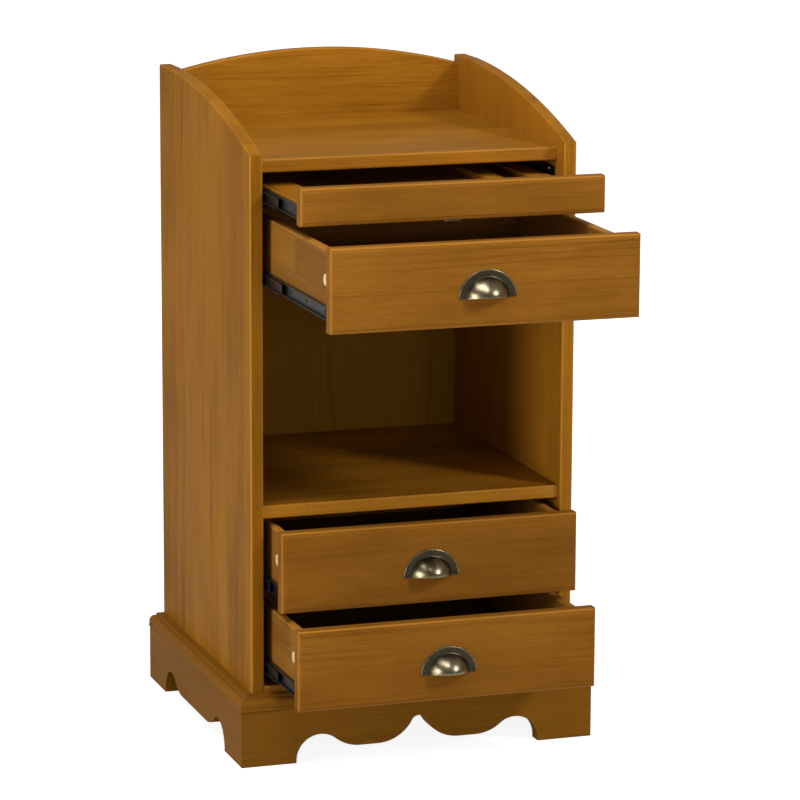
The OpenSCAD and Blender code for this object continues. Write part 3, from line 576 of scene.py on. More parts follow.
stained_front = wood(
    "Stained pine, drawer fronts", (0.322, 0.130, 0.0150), (0.135, 0.043, 0.0040),
    Strip_width=0.40, Ring_spacing=0.0095, Ring_strength=0.47, Streak_strength=0.42, Line_strength=0.22,
    Fibre_strength=0.75, Fleck_strength=0.2, Speck_strength=0.55, Tone_change=1.15, Strip_change=0.0,
    Wander=0.012)
box_wood = wood(
    "Pale pine, drawer boxes", (0.335, 0.145, 0.024), (0.17, 0.060, 0.007), rough=0.5, coat=0.05,
    Strip_width=0.047, Block_length=0.21, Ring_spacing=0.0045, Ring_strength=0.32, Streak_strength=0.7,
    Fibre_strength=0.35, Fleck_strength=0.3, Tone_change=0.4, Strip_change=0.45, Wander=0.008)
thin_board = wood(
    "Thin brown board", (0.20, 0.090, 0.008), (0.105, 0.043, 0.003), rough=0.40, coat=0.0, bump=0.05,
    Strip_width=0.6, Ring_spacing=0.011, Ring_strength=0.35, Streak_strength=0.4, Fibre_strength=0.25,
    Fleck_strength=0.1, Tone_change=0.5, Strip_change=0.0, Wander=0.02)
raw_wood = wood(
    "Unstained pine", (0.55, 0.33, 0.13), (0.34, 0.16, 0.05), rough=0.6, coat=0.0, bump=0.25,
    Strip_width=0.06, Ring_spacing=0.004, Ring_strength=0.4, Streak_strength=0.4, Fibre_strength=0.4,
    Fleck_strength=0.3, Tone_change=0.4, Wander=0.008)
print("materials so far:", len(bpy.data.materials))

# %% [markdown]
# ## Metal and plastic
# The runners are black coated steel with oiled middle rails, the screws are zinc, the cams are cream plastic.

# %% Metal and plastic materials
RELIEF = 0.0003  # depth of the fine relief on metal and plastic, in metres


def plain(name, light, dark, rough, metallic=0.0, scale=90.0, bump=0.1, spread=0.1):
    """A surface with a mottled colour, uneven gloss and a fine relief."""
    material, t, shader = material_tree(name)
    where = t.node("ShaderNodeTexCoord").outputs["Object"]
    cloud = t.noise(where, scale, 4.0, 0.6).outputs["Fac"]
    fine = t.noise(where, scale * 14, 2.0, 0.5).outputs["Fac"]
    t.put(shader.inputs["Base Color"], t.mix(t.span(cloud, 0.3, 0.7), (*light, 1), (*dark, 1)))
    t.put(shader.inputs["Roughness"], t.math("MULTIPLY_ADD", t.centred(cloud), spread * 2, rough))
    t.put(shader.inputs["Metallic"], metallic)
    relief = t.node("ShaderNodeBump", {"Strength": bump, "Distance": RELIEF, "Height": fine})
    t.put(shader.inputs["Normal"], relief)
    return material


black_rail = plain("Black coated steel", (0.012, 0.012, 0.012), (0.008, 0.008, 0.008), 0.36)
inner_rail = plain("Dark oiled steel", (0.050, 0.049, 0.047), (0.028, 0.027, 0.026), 0.34, 0.7, spread=0.12)
zinc = plain("Zinc plated screw", (0.62, 0.61, 0.58), (0.42, 0.41, 0.39), 0.32, 1.0, scale=700.0)
cream = plain("Cream plastic", (0.94, 0.76, 0.42), (0.84, 0.66, 0.35), 0.45, scale=300.0, bump=0.05)
lip_steel = plain("Brushed steel lip", (0.66, 0.66, 0.67), (0.50, 0.50, 0.51), 0.30, 1.0, scale=400.0)

brass, t, shader = material_tree("Aged brass")
tones = {"Bright": (0.54, 0.45, 0.27, 1), "Dark": (0.072, 0.058, 0.036, 1), "Rub": 0.36}
patina = t.node("ShaderNodeGroup", tones, node_tree=patina_tree)
t.put(shader.inputs["Base Color"], patina.outputs["Color"])
t.put(shader.inputs["Metallic"], 1.0)
t.put(shader.inputs["Roughness"], patina.outputs["Roughness"])
relief = t.node("ShaderNodeBump", {"Strength": 0.12, "Distance": RELIEF, "Height": patina.outputs["Height"]})
t.put(shader.inputs["Normal"], relief)
print("materials:", len(bpy.data.materials))

# %% [markdown]
# ## Side panels
# The outline is drawn in Y and Z: a straight front edge and a long arc on top that runs level near the back.
# The front and top edges are rounded, as the thin highlight along them shows, and their rounded faces get a
# painted highlight.
# The left panel's front edge gets painted shade. The right panel's front edge and inner face get painted
# light.

# %% Build the side panels
SIDE_LOW = 56.0         # lower edge, hidden behind the plinth
SIDE_FRONT_H = 828.0    # height at the front edge
SIDE_BACK_H = 897.0     # height at the back
SIDE_CROWN_Y = 205.0    # where the arc is highest
CROWN_CUT = 0.35        # how much of the arc's crown is cut level
PANEL_ROUND = 2.4       # radius of the rounded edges of the panels and the gallery
HIDDEN_ROUND = 0.8      # radius of a panel's edges at the back and below


def side_outline(steps=48):
    """The panel seen from the side, as points (y, z)."""
    rise, run = SIDE_BACK_H - SIDE_FRONT_H + CROWN_CUT, SIDE_CROWN_Y - FRONT_Y
    r = (run * run + rise * rise) / (2 * rise)
    top = []
    for i in range(steps + 1):
        y = FRONT_Y + (BACK_Y - FRONT_Y) * i / steps
        z = SIDE_BACK_H + CROWN_CUT - r + math.sqrt(r * r - (y - SIDE_CROWN_Y) ** 2)
        top.append((y, min(SIDE_BACK_H, z)))
    return [(BACK_Y, SIDE_LOW), (FRONT_Y, SIDE_LOW)] + top


def front_and_top(m, d, e):
    return abs(d.x) < 0.5 and (m.y < FRONT_Y + 0.01 or m.z > SIDE_FRONT_H - 1)


def back_and_foot(m, d, e):
    return is_sharp(e) and m.y > FRONT_Y + 5 and m.z < SIDE_FRONT_H - 5


for name, x0, x1 in (("left_side", -HALF_W, -INNER_X), ("right_side", INNER_X, HALF_W)):
    bm = prism(side_outline(), "x", x0, x1)
    ease(bm, front_and_top, PANEL_ROUND, 4)
    ease(bm, back_and_foot, HIDDEN_ROUND, 2)
    panel = piece("visual_" + name, bm, "carcass", stained, [name], ("z", "y"))
    if name == "left_side":
        # the left panel's front edge face is painted darker: painted shade
        mark_faces(panel, "painted_shade", 0.45)
    else:
        # the right panel's front edge face and inner face are painted paler: painted light
        mark_faces(panel, "edge", 0.35)
        mark_faces(panel, "edge", 0.9, lambda centre, normal: normal.x < -0.99)
    # the rounded top and front edges of both panels are painted paler: painted highlight
    mark_faces(panel, "edge", 0.45, lambda centre, normal: normal.z > 0.2 and abs(normal.x) > 0.1)
    mark_faces(panel, "edge", 1.8, lambda centre, normal: abs(normal.z) < 0.05 and -0.99 < normal.y < -0.1)
    print(name, "has", len(panel.data.polygons), "faces")

# %% [markdown]
# ## Boards between the sides
# The top board, shelf and bottom board are boxes with a rounded front edge. The gallery panel is an arch,
# and the back panel is a thin plain board.

# %% Build the cross boards
# Name, front edge, back edge, lower face, radius of the front edges and how much painted light the front face
# gets.
CROSS_BOARDS = (("top_board", -198.0, GALLERY_Y, TOP_LOW, 2.6, 0.2),
                ("shelf_board", CLOSED_Y, BACK_PANEL_Y, 334.5, 2.2, 1.0),
                ("bottom_board", FRONT_Y, BACK_PANEL_Y, BOTTOM_LOW, 2.0, 0.2))


def front_edges(y):
    return lambda m, d, e: abs(d.x) > 0.5 and m.y < y + 0.01


for name, y0, y1, z0, radius, painted_light in CROSS_BOARDS:
    bm = block((-INNER_X, y0, z0), (INNER_X, y1, z0 + BOARD))
    ease(bm, front_edges(y0), radius, 4)
    board = piece("visual_" + name, bm, "carcass", waxed, [name], ("x", "y"))
    # the board's flat front face is painted paler: painted light
    mark_faces(board, "edge", painted_light)
    print(name, "is", y1 - y0, "mm deep")

# %% Build the gallery and the back panel
GALLERY_T = 16.0
HAIR = 0.02  # the arch stays this much under the CAD model's highest point

arch_r = (INNER_X ** 2 + GALLERY_CROWN ** 2) / (2 * GALLERY_CROWN)
crown = TOP_Z + GALLERY_END_H + GALLERY_CROWN
arch = []
for x in np.linspace(INNER_X, -INNER_X, 49):
    arch.append((x, crown - HAIR - arch_r + math.sqrt(arch_r ** 2 - x * x)))
bm = prism([(-INNER_X, TOP_LOW), (INNER_X, TOP_LOW)] + arch, "y", GALLERY_Y, GALLERY_Y + GALLERY_T)
ease(bm, lambda m, d, e: abs(d.y) < 0.5 and m.z > TOP_Z + GALLERY_END_H - 1 and abs(m.x) < INNER_X - 0.01,
     PANEL_ROUND, 4)
piece("visual_gallery", bm, "carcass", stained, ["gallery_panel"], ("x", "z"))

bm = block((-INNER_X, BACK_PANEL_Y, BOTTOM_LOW), (INNER_X, BACK_PANEL_Y + BACK_PANEL_T, TOP_LOW))
piece("visual_back_panel", bm, "carcass", thin_board, ["back_panel"], ("z", "x"))
print("arch radius:", round(arch_r, 1), "mm")

# %% [markdown]
# ## The shaped plinth
# Its lower edge is made of circles that run into each other: an arch beside each foot, round lobes and,
# in front, a rounded peak. The points follow those circles from one foot to the other.

# %% Draw the plinth's lower edge
ARCH_R, ARCH_Z = 34.0, 4.0     # the arch beside a foot: radius and height of its centre
LOBE_R, LOBE_H = 56.0, 17.5    # a lobe: radius and height of its lowest point
LOBE_GAP = 2.0                 # how much further apart the two middle lobes stand than their radius
PEAK_H = 52.0                  # top of the peak between them
BITE = 0.15                    # how much neighbouring circles overlap
FRONT_FOOT, SIDE_FOOT = 78.0, 84.0  # width of a foot


def plinth_curve(half, foot, with_peak):
    """The lower edge from the middle to the right foot, as points (distance from the middle, height)."""
    arch_x, lobe_z = half - foot - ARCH_R, LOBE_H + LOBE_R
    reach, rise = ARCH_R + LOBE_R - BITE, lobe_z - ARCH_Z
    lobe_x = arch_x - math.sqrt(reach ** 2 - rise ** 2)
    turn = math.degrees(math.atan2(rise, lobe_x - arch_x))
    points = [(0, LOBE_H)]
    if with_peak:
        near, gap, grip = LOBE_R + LOBE_GAP, lobe_z - PEAK_H, LOBE_R - BITE
        peak_r = (near ** 2 + gap ** 2 - grip ** 2) / (2 * (grip - gap))
        peak_z = PEAK_H - peak_r
        tilt = math.degrees(math.atan2(lobe_z - peak_z, near))
        points = arc(0, peak_z, peak_r, 90, tilt, 8) + arc(near, lobe_z, LOBE_R, 180 + tilt, 270, 12)[1:]
    points += arc(lobe_x, lobe_z, LOBE_R, 270, 360 + turn - 180, 12)
    points += arc(arch_x, ARCH_Z, ARCH_R, turn, 0, 16)[1:]
    return points + [(half - foot, 0.0)]


def plinth_outline(half, foot, with_peak, middle=0.0):
    """The whole board: the curve, mirrored about the middle, and the straight edges round it."""
    right = plinth_curve(half, foot, with_peak)
    left = [(-a, b) for a, b in right[:0:-1]]
    edge = [(middle + a, b) for a, b in left + right]
    start, end = middle - half, middle + half
    return [(start, 0.0)] + edge + [(end, 0.0), (end, PLINTH_H), (start, PLINTH_H)]


# %% [markdown]
# The front board and the side boards meet in mitres: the inner ring of points is pulled in at the corner by
# the board's thickness. The curve's outer edge is eased a little, as a hand with sandpaper leaves it.

# %% Build the plinth
CURVE_EASE = 1.2


def is_lower_edge(middle, edge):
    return middle.z < PLINTH_H - 1 and is_sharp(edge, 60)


def front_curve(m, d, e):
    return is_lower_edge(m, e) and abs(d.y) < 0.5 and abs(m.x) < PLINTH_X - 1 and m.y < PLINTH_Y + 1


def side_curve(m, d, e):
    return is_lower_edge(m, e) and abs(d.x) < 0.5 and abs(m.x) > PLINTH_X - 1 and m.y > PLINTH_Y + 1


def mitred_x(x):
    return math.copysign(HALF_W, x) if abs(x) > PLINTH_X - 0.01 else x


outline = plinth_outline(PLINTH_X, FRONT_FOOT, True)
bm = solid_from_loops([[(x, PLINTH_Y, z) for x, z in outline],
                       [(mitred_x(x), PLINTH_Y + PLINTH_T, z) for x, z in outline]])
ease(bm, front_curve, CURVE_EASE)
piece("visual_plinth_front", bm, "carcass", base_stained, ["plinth_front"], ("x", "z"))

run = BACK_Y - PLINTH_Y
outline = plinth_outline(run / 2, SIDE_FOOT, False, PLINTH_Y + run / 2)
for name, s in (("plinth_left", -1), ("plinth_right", 1)):
    bm = solid_from_loops([[(s * PLINTH_X, y, z) for y, z in outline],
                           [(s * HALF_W, y + PLINTH_T if y < PLINTH_Y + 0.01 else y, z) for y, z in outline]])
    ease(bm, side_curve, CURVE_EASE)
    piece("visual_" + name, bm, "carcass", base_stained, [name], ("y", "z"))
print("points in a side board's outline:", len(outline))

# %% [markdown]
# ## The base moulding
# One profile goes round three sides. At a mitred corner each profile point moves out by the same amount in
# both directions, so the two pieces meet on the diagonal.

# %% Build the moulding
MOULD_H = 19.5      # height of the moulding
MOULD_FLAT = 12.0   # width of its flat top
BEAD_R = 2.5        # radius of the bead at its foot
BEAD_OUT = 1.5      # how far the bead stands out from the plinth
BEAD_TOP = 5.2      # height where the bead ends and the side above it starts
OVOLO_R = 8.0       # radius of the quarter round above the bead
OVOLO_DROP = 3.0    # the quarter round starts this much under the top
QUIRK = 2.5         # width of the small step between the two
DEEP = 26.0         # how far the front length reaches in, under the bottom board


def mould_profile():
    """Points (out from the plinth's face, up from its top), from the inner bottom corner to the top."""
    flat_end = MOULD_FLAT - PLINTH_T
    ovolo_x = flat_end + QUIRK
    points = [(-PLINTH_T, 0.0)]
    points += arc(BEAD_OUT - BEAD_R, BEAD_R, BEAD_R, -90, 60, 8)
    points += [(ovolo_x + OVOLO_R, BEAD_TOP)]
    points += arc(ovolo_x, MOULD_H - OVOLO_DROP - OVOLO_R, OVOLO_R, 0, 90, 8)
    points += [(flat_end + 0.5, MOULD_H - OVOLO_DROP), (flat_end, MOULD_H - OVOLO_DROP + 0.5)]
    points += [(flat_end, MOULD_H - 0.6), (flat_end - 0.6, MOULD_H), (-PLINTH_T, MOULD_H)]
    return points


profile = mould_profile()
for name, s in (("moulding_left", -1), ("moulding_right", 1)):
    bm = solid_from_loops([[(s * (PLINTH_X + u), BACK_Y, PLINTH_H + v) for u, v in profile],
                           [(s * (PLINTH_X + u), PLINTH_Y - u, PLINTH_H + v) for u, v in profile]])
    piece("visual_" + name, bm, "carcass", base_stained, [name], ("y", "z"))
deep = [(-DEEP, 0.0)] + profile[1:-1] + [(-DEEP, MOULD_H)]
bm = solid_from_loops([[(s * max(HALF_W, PLINTH_X + u), PLINTH_Y - u, PLINTH_H + v) for u, v in deep]
                       for s in (-1, 1)])
piece("visual_moulding_front", bm, "carcass", base_stained, ["moulding_front"], ("x", "z"))
print("profile points:", len(profile))

# %% [markdown]
# ## Inside the plinth
# These pieces hardly show. The CAD solids are good enough as they are and only get a material.

# %% Materials for the hidden CAD pieces
for name, material, across in (("plinth_back", stained, "z"), ("corner_blocks", raw_wood, "y"),
                               ("dowels", raw_wood, "y")):
    mesh = frame["nodes"][name].data
    mesh.materials.clear()
    mesh.materials.append(material)
    set_grain(mesh, "x", across, name)
    print(name, "gets", material.name)

# %% [markdown]
# ## Moulded fronts
# A front is a stack of rounded rectangles: full size at the back, then drawn in along the router's curve,
# with a thin step before the flat face. The curve is the same on all four edges, so the corners mitre
# themselves. The curve's crest gets a painted highlight, and the two lower fronts get painted shade.

# %% Build the drawer and tray fronts
TRAY_H = 50.0   # height of the tray's front
EDGE_R = 4.0    # radius of the router's curve
STEP = 0.8      # depth of the thin step inside it
FRONT_PAINTED_HIGHLIGHT = {3: 0.2, 4: 0.6, 5: 1.7, 6: 1.7, 7: 0.5, 8: 0.2}  # how much painted highlight each band of the curve gets
FRONT_PAINTED_SHADE = {"drawer_2": 0.22, "drawer_3": 0.2}  # how much painted shade a front gets
CALM_BOARD = "calm board 1"  # seed of the lowest front, whose grain is quieter than the others'


def front_profile():
    """From the back of a front to its face: (inset from the outline, distance behind the face)."""
    back = [(0.7, FRONT_T), (0.2, FRONT_T - 0.2), (0.0, FRONT_T - 0.7)]
    curve = []
    for degrees in range(0, 91, 15):
        a = math.radians(degrees)
        curve.append((EDGE_R - EDGE_R * math.cos(a), STEP + EDGE_R - EDGE_R * math.sin(a)))
    step = [(EDGE_R + 0.9, STEP), (EDGE_R + 1.25, STEP * 0.55), (EDGE_R + 1.5, 0.15), (EDGE_R + 1.75, 0.0)]
    return back + curve + step


def front_board(name, height):
    """The front of the tray or of a drawer, at the place where it stands open."""
    y, z = CLOSED_Y - OPENS[name], FRONTS_Z[name] + height / 2
    loops = []
    for inset, depth in front_profile():
        corner = max(0.25, 1.0 - 0.12 * inset)
        w, h = FRONT_W / 2 - inset, height / 2 - inset
        ring = rounded_rectangle(-w, w, -h, h, corner, 3)
        loops.append([(side, y + depth, z + up) for side, up in ring])
    # the bands of the router's curve get a painted highlight
    bm = solid_from_loops(loops, FRONT_PAINTED_HIGHLIGHT)
    return piece(f"visual_{name}_front", bm, name, stained_front, [f"{name}_front"],
                 ("x", "z"), sharp=50)


for drawer in DRAWERS:
    front = front_board(drawer, FRONT_H)
    # drawers 2 and 3 get painted shade on their front faces
    mark_faces(front, "painted_shade", FRONT_PAINTED_SHADE.get(drawer, 0.0))
    if drawer == "drawer_3":
        set_grain(front.data, "x", "z", CALM_BOARD)
front_board("tray", TRAY_H)
print("loops in a front:", len(front_profile()))

# %% [markdown]
# ## Drawer boxes
# Plain boards with eased top edges. The sides stop at the front's back, the bottom lies in grooves.
# The top faces of the sides get painted light, as they are lit from above.

# %% Build the drawer boxes
BOX_T = 12.0                        # thickness of the sides and the back
BOX_LOW_GAP, BOX_TOP_GAP = 13.0, 8.5  # how far the front reaches past the box, below and above
BOTTOM_UP, BOTTOM_T = 10.0, 4.0     # the bottom's height above the sides' lower edge, and its thickness
GROOVE = 4.8                        # how deep the bottom sits in the sides and the front
BOX_ROUND = 2.6                     # radius of the top edges

inner = BOX_X - BOX_T
for drawer in DRAWERS:
    y0, z0 = FRONT_BACK_Y - OPENS[drawer], FRONTS_Z[drawer] + BOX_LOW_GAP
    z1 = FRONTS_Z[drawer] + FRONT_H - BOX_TOP_GAP
    floor_z = z0 + BOTTOM_UP + BOTTOM_T
    for part, s in (("left_side", -1), ("right_side", 1)):
        bm = block((min(s * BOX_X, s * inner), y0, z0), (max(s * BOX_X, s * inner), y0 + BOX_D, z1))
        ease(bm, lambda m, d, e: abs(d.y) > 0.5 and m.z > z1 - 0.01, BOX_ROUND, 4)
        name = f"{drawer}_{part}"
        side = piece("visual_" + name, bm, drawer, box_wood, [name], ("y", "z"))
        # the sides' top faces are painted paler: painted light
        mark_faces(side, "edge", 1.6, lambda centre, normal: normal.z > 0.3)
    bm = block((-inner, y0 + BOX_D - BOX_T, floor_z), (inner, y0 + BOX_D, z1))
    ease(bm, lambda m, d, e: abs(d.x) > 0.5 and m.z > z1 - 0.01, BOX_ROUND, 4)
    piece(f"visual_{drawer}_back", bm, drawer, box_wood, [f"{drawer}_back"], ("x", "z"))
    bm = block((-inner - GROOVE, y0 - GROOVE, z0 + BOTTOM_UP), (inner + GROOVE, y0 + BOX_D, floor_z))
    piece(f"visual_{drawer}_bottom", bm, drawer, thin_board, [f"{drawer}_bottom"], ("x", "y"))
    print(drawer, "box:", 2 * BOX_X, "x", BOX_D, "x", z1 - z0, "mm")

# %% [markdown]
# ## The tray board
# A Boolean modifier cuts the two recesses, a wide one and a narrow one for pens. A Bevel modifier then rounds
# the rims. Each cutter narrows at its foot, so that the recess has a small fillet.

# %% Build the tray
TRAY_Y = FRONT_BACK_Y - OPENS["tray"]        # front edge of the tray board
TRAY_LOW, TRAY_T = 761.0, 20.0               # its lower face and its thickness
RECESS_D, RECESS_R, FILLET = 8.0, 8.0, 1.5   # depth and corner radius of a recess, and the fillet at its foot
RECESS_Y = (14.0, 344.0)                     # where the recesses start and end behind the front edge
RECESSES_X = ((-152.0, 108.0), (132.0, 168.0))

floor_z = TRAY_LOW + TRAY_T - RECESS_D
y0, y1 = TRAY_Y + RECESS_Y[0], TRAY_Y + RECESS_Y[1]
cutters = []
for x0, x1 in RECESSES_X:
    ring = rounded_rectangle(x0, x1, y0, y1, RECESS_R)
    low = rounded_rectangle(x0 + FILLET, x1 - FILLET, y0 + FILLET, y1 - FILLET, RECESS_R - FILLET)
    loops = [[(x, y, floor_z) for x, y in low], [(x, y, floor_z + FILLET) for x, y in ring],
             [(x, y, floor_z + RECESS_D + 2) for x, y in ring]]
    cutters.append(link_mesh("tray_cutter", solid_from_loops(loops)))
blank = link_mesh("tray_blank", block((-BOX_X, TRAY_Y, TRAY_LOW), (BOX_X, TRAY_Y + BOX_D, TRAY_LOW + TRAY_T)))
carve(blank, cutters)
rim = blank.modifiers.new("Rim", "BEVEL")
rim.width, rim.segments, rim.limit_method, rim.angle_limit = 0.8 * MM, 3, "ANGLE", math.radians(60)
bake(blank)
bm = bmesh.new()
bm.from_mesh(blank.data)
bpy.data.objects.remove(blank)
tray = piece("visual_tray_board", bm, "tray", stained, ["tray_board"], ("y", "x"))
print("faces in the tray board:", len(tray.data.polygons))

# %% [markdown]
# Under the tray's front sits a small metal lip for a finger: half of an ellipse in front, straight behind.

# %% Build the finger lip
LIP_Y = -213.0 - OPENS["tray"]             # the lip's foremost point
LIP_W, LIP_BULGE, LIP_D = 11.0, 5.0, 10.0  # half its width, depth of the ellipse and whole depth
LIP_T, LIP_ROUND = 2.0, 0.5                # its thickness and the radius of its edges

outline = []
for a in np.linspace(0, math.pi, 17):
    outline.append((LIP_W * math.cos(a), LIP_Y + LIP_BULGE - LIP_BULGE * math.sin(a)))
outline += [(-LIP_W, LIP_Y + LIP_D), (LIP_W, LIP_Y + LIP_D)]
bm = prism(outline, "z", FRONTS_Z["tray"] - LIP_T, FRONTS_Z["tray"])
ease(bm, lambda m, d, e: is_sharp(e), LIP_ROUND, 2)
piece("visual_tray_lip", bm, "tray", lip_steel, ["tray_lip"])
print("finger lip:", 2 * LIP_W, "x", LIP_D, "mm")

# %% [markdown]
# ## Cup pulls
# A pull is turned like a pot, but only half a turn: the section runs from the flange's bead over the dome to
# its crown and back along the inside. The half turn is then pressed a little flatter, its lower corners are
# rounded, and the rim is tilted up towards the front.

# %% Draw the cup pull
PULL_LOW = 37.0     # foot of a pull above the lower edge of its front
PULL_H = 37.5       # height of the half turn after pressing
FLANGE_R = 39.4     # radius of the flange
FLANGE_IN = 31.0    # the flange's lower corners are rounded outside this radius
CORNER_R = 3.0      # radius of those corners
CUP_R = 28.5        # radius of the dome where it meets the flange
DOME_LOW = 2.4      # how far its foot stands out from the front
CUP_OUT = 23.4      # how far its crown stands out
CUP_WALL = 1.6      # thickness of the metal
SHOULDER = 0.88     # shape of the dome: 0.5 is round, 1 is a parabola
RIM_TILT = 0.155    # how much the rim rises for each millimetre outwards
TILT_TOP = 28.0     # the tilt fades out at this height


def cup_section():
    """Outer skin and inner skin of the pull: (radius, distance out from the drawer front)."""
    turns = np.linspace(0.2, math.pi * 0.86, 7)
    neck = ((2.1, 1.35), (1.5, 1.55), (0.9, 2.1), (0.4, 2.35), (0.0, DOME_LOW))
    outer = [(FLANGE_R, 0.0), (FLANGE_R, 0.9)]
    outer += [(FLANGE_R - 1.0 + math.cos(a), 1.1 + 0.9 * math.sin(a)) for a in turns]
    outer += [(FLANGE_R - 2.6, 1.45), (FLANGE_R - 3.4, 1.35)]
    outer += [(CUP_R + beside, out) for beside, out in neck]
    dome = [(near, (1 - near * near) ** SHOULDER) for near in np.linspace(0.985, 0.003, 26)]
    outer += [(CUP_R * near, DOME_LOW + (CUP_OUT - DOME_LOW) * out) for near, out in dome]
    inner = [((CUP_R - CUP_WALL) * near, (CUP_OUT - CUP_WALL) * out) for near, out in dome[::-1]]
    return outer + inner + [(CUP_R - CUP_WALL, 0.0)]


def cup_point(r, out, angle):
    """Turns a point of the section by an angle: (sideways, outwards, up from the foot)."""
    up = r * math.sin(angle) * PULL_H / FLANGE_R
    corner = CORNER_R - math.sqrt(CORNER_R ** 2 - (CORNER_R - up) ** 2) if up < CORNER_R else 0.0
    in_flange = max(0.0, (r - FLANGE_IN) / (FLANGE_R - FLANGE_IN))
    side = r * math.cos(angle) * (1 - corner / FLANGE_R * in_flange)
    return side, out, up + out * RIM_TILT * max(0.0, 1 - up / TILT_TOP) ** 2


def face_y(drawer):
    """The face of a drawer's front, where the drawer stands open."""
    return CLOSED_Y - OPENS[drawer]


def cup_pull(drawer, steps=64):
    """A drawer's pull as a solid. The steps are finer near both ends of the half turn."""
    face, base = face_y(drawer), FRONTS_Z[drawer] + PULL_LOW
    loops = []
    for i in range(steps + 1):
        angle = math.pi * (1 - math.cos(math.pi * i / steps)) / 2
        places = [cup_point(r, out, angle) for r, out in cup_section()]
        loops.append([(side, face - out, base + up) for side, out, up in places])
    return solid_from_loops(loops)


# %% [markdown]
# Fingers polish the metal where they touch it. The vertex attribute `worn` is high on the dome, along the rim
# and on the flange's bead, and the patina group mixes the brighter metal in there.

# %% Build the cup pulls
RIM_ROUND = 0.35  # radius of the metal's edges along the rim


def rim_edges(drawer):
    base = FRONTS_Z[drawer] + PULL_LOW
    return lambda m, d, e: is_sharp(e, 60) and m.z < base + (face_y(drawer) - m.y) * RIM_TILT + 0.01


def mark_worn(mesh, drawer):
    """Polish grows towards the crown of the dome, and is strong on the bead and along the rim."""
    face, base = face_y(drawer) * MM, (FRONTS_Z[drawer] + PULL_LOW) * MM
    values = []
    for v in mesh.vertices:
        out, up = (face - v.co.y) / MM, (v.co.z - base) / MM
        r = math.hypot(v.co.x / MM, up * FLANGE_R / PULL_H)
        bead = max(0.0, 1 - abs(r - (FLANGE_R - 0.8)) / 1.2)
        dome = min(1.0, max(0.0, (out - 3.0) / 10.0))
        rim = max(0.0, 1 - (up - out * RIM_TILT) / 1.5) if out > 3.0 else 0.0
        values.append(max(0.9 * bead, 0.75 * dome, 1.1 * rim))
    mesh.attributes.new("worn", "FLOAT", "POINT").data.foreach_set("value", values)


for drawer in DRAWERS:
    bm = cup_pull(drawer)
    ease(bm, rim_edges(drawer), RIM_ROUND, 2)
    pull = piece(f"visual_{drawer}_pull", bm, drawer, brass, [f"{drawer}_pull"], sharp=50)
    mark_worn(pull.data, drawer)
print("vertices in a pull:", len(pull.data.vertices))

# %% [markdown]
# ## Runner rails
# Each runner has an outer rail on the cabinet, a middle rail and a drawer rail. They are thin folded sheet,
# so each one is a section drawn once and pulled out along Y. The left-hand section is mirrored for the right.

# %% Draw the rails' sections
SHEET = 1.2                          # thickness of the steel
RAIL_GAP = 12.5                      # space between a side panel and a drawer box
RAIL_L = 396.0                       # length of every rail
PLATE_H, CHANNEL_H = 40.0, 17.4      # height of the outer rail's plate and of the channels
OUTER_TIP, DRAWER_TIP = 5.6, 6.9     # where the flanges of the outer rail and of the drawer rail end
WEB = RAIL_GAP - SHEET               # inner face of the drawer rail's web
MIDDLE_NEAR, MIDDLE_FAR = SHEET + 0.5, WEB - 0.6
MIDDLE_H = CHANNEL_H - 2 * SHEET - 0.8


def outer_section():
    """A plate with a C in its middle. Points are (distance from the side panel, height)."""
    h, c = PLATE_H / 2, CHANNEL_H / 2
    upper = [(SHEET, c - SHEET), (OUTER_TIP, c - SHEET), (OUTER_TIP, c), (SHEET, c), (SHEET, h), (0, h)]
    return [(x, -z) for x, z in upper[::-1]] + upper


def middle_section():
    """An I whose web stands halfway between its flanges' ends."""
    near, far, h = MIDDLE_NEAR, MIDDLE_FAR, MIDDLE_H / 2
    inside = h - SHEET
    web = near + (far - near - SHEET) / 2
    return [
        (near, -h), (far, -h), (far, -inside), (web + SHEET, -inside), (web + SHEET, inside), (far, inside),
        (far, h), (near, h), (near, inside), (web, inside), (web, -inside), (near, -inside)]


def drawer_section():
    """A C that opens towards the side panel."""
    near, far, tip, h = RAIL_GAP, WEB, DRAWER_TIP, CHANNEL_H / 2
    return [(near, -h), (tip, -h), (tip, -h + SHEET), (far, -h + SHEET), (far, h - SHEET), (tip, h - SHEET),
            (tip, h), (near, h)]


# %% [markdown]
# The drawer rails have three short slots for adjusting. Each one is cut with a Boolean, because it has round
# ends and goes through the web only.

# %% Build the rails
RAIL_Y = FRONT_Y + 34.0            # front end of the outer rails
SLOTS = (109.0, 175.0, 287.0)      # slots of a drawer rail, from its front end
SLOT_R, SLOT_HALF = 2.2, 2.3       # radius of a slot's ends, and half the distance between their centres
FOLD_R = 0.3                       # radius of the sheet's edges and folds
# How far each pair of middle rails stands out in front of its outer rails.
MIDDLE_RUN = {"tray": 84.5, "drawer_1": 100.3, "drawer_2": 41.0, "drawer_3": 78.25}


def slot_outline(y, z):
    return arc(y + SLOT_HALF, z, SLOT_R, -90, 90, 6) + arc(y - SLOT_HALF, z, SLOT_R, 90, 270, 6)


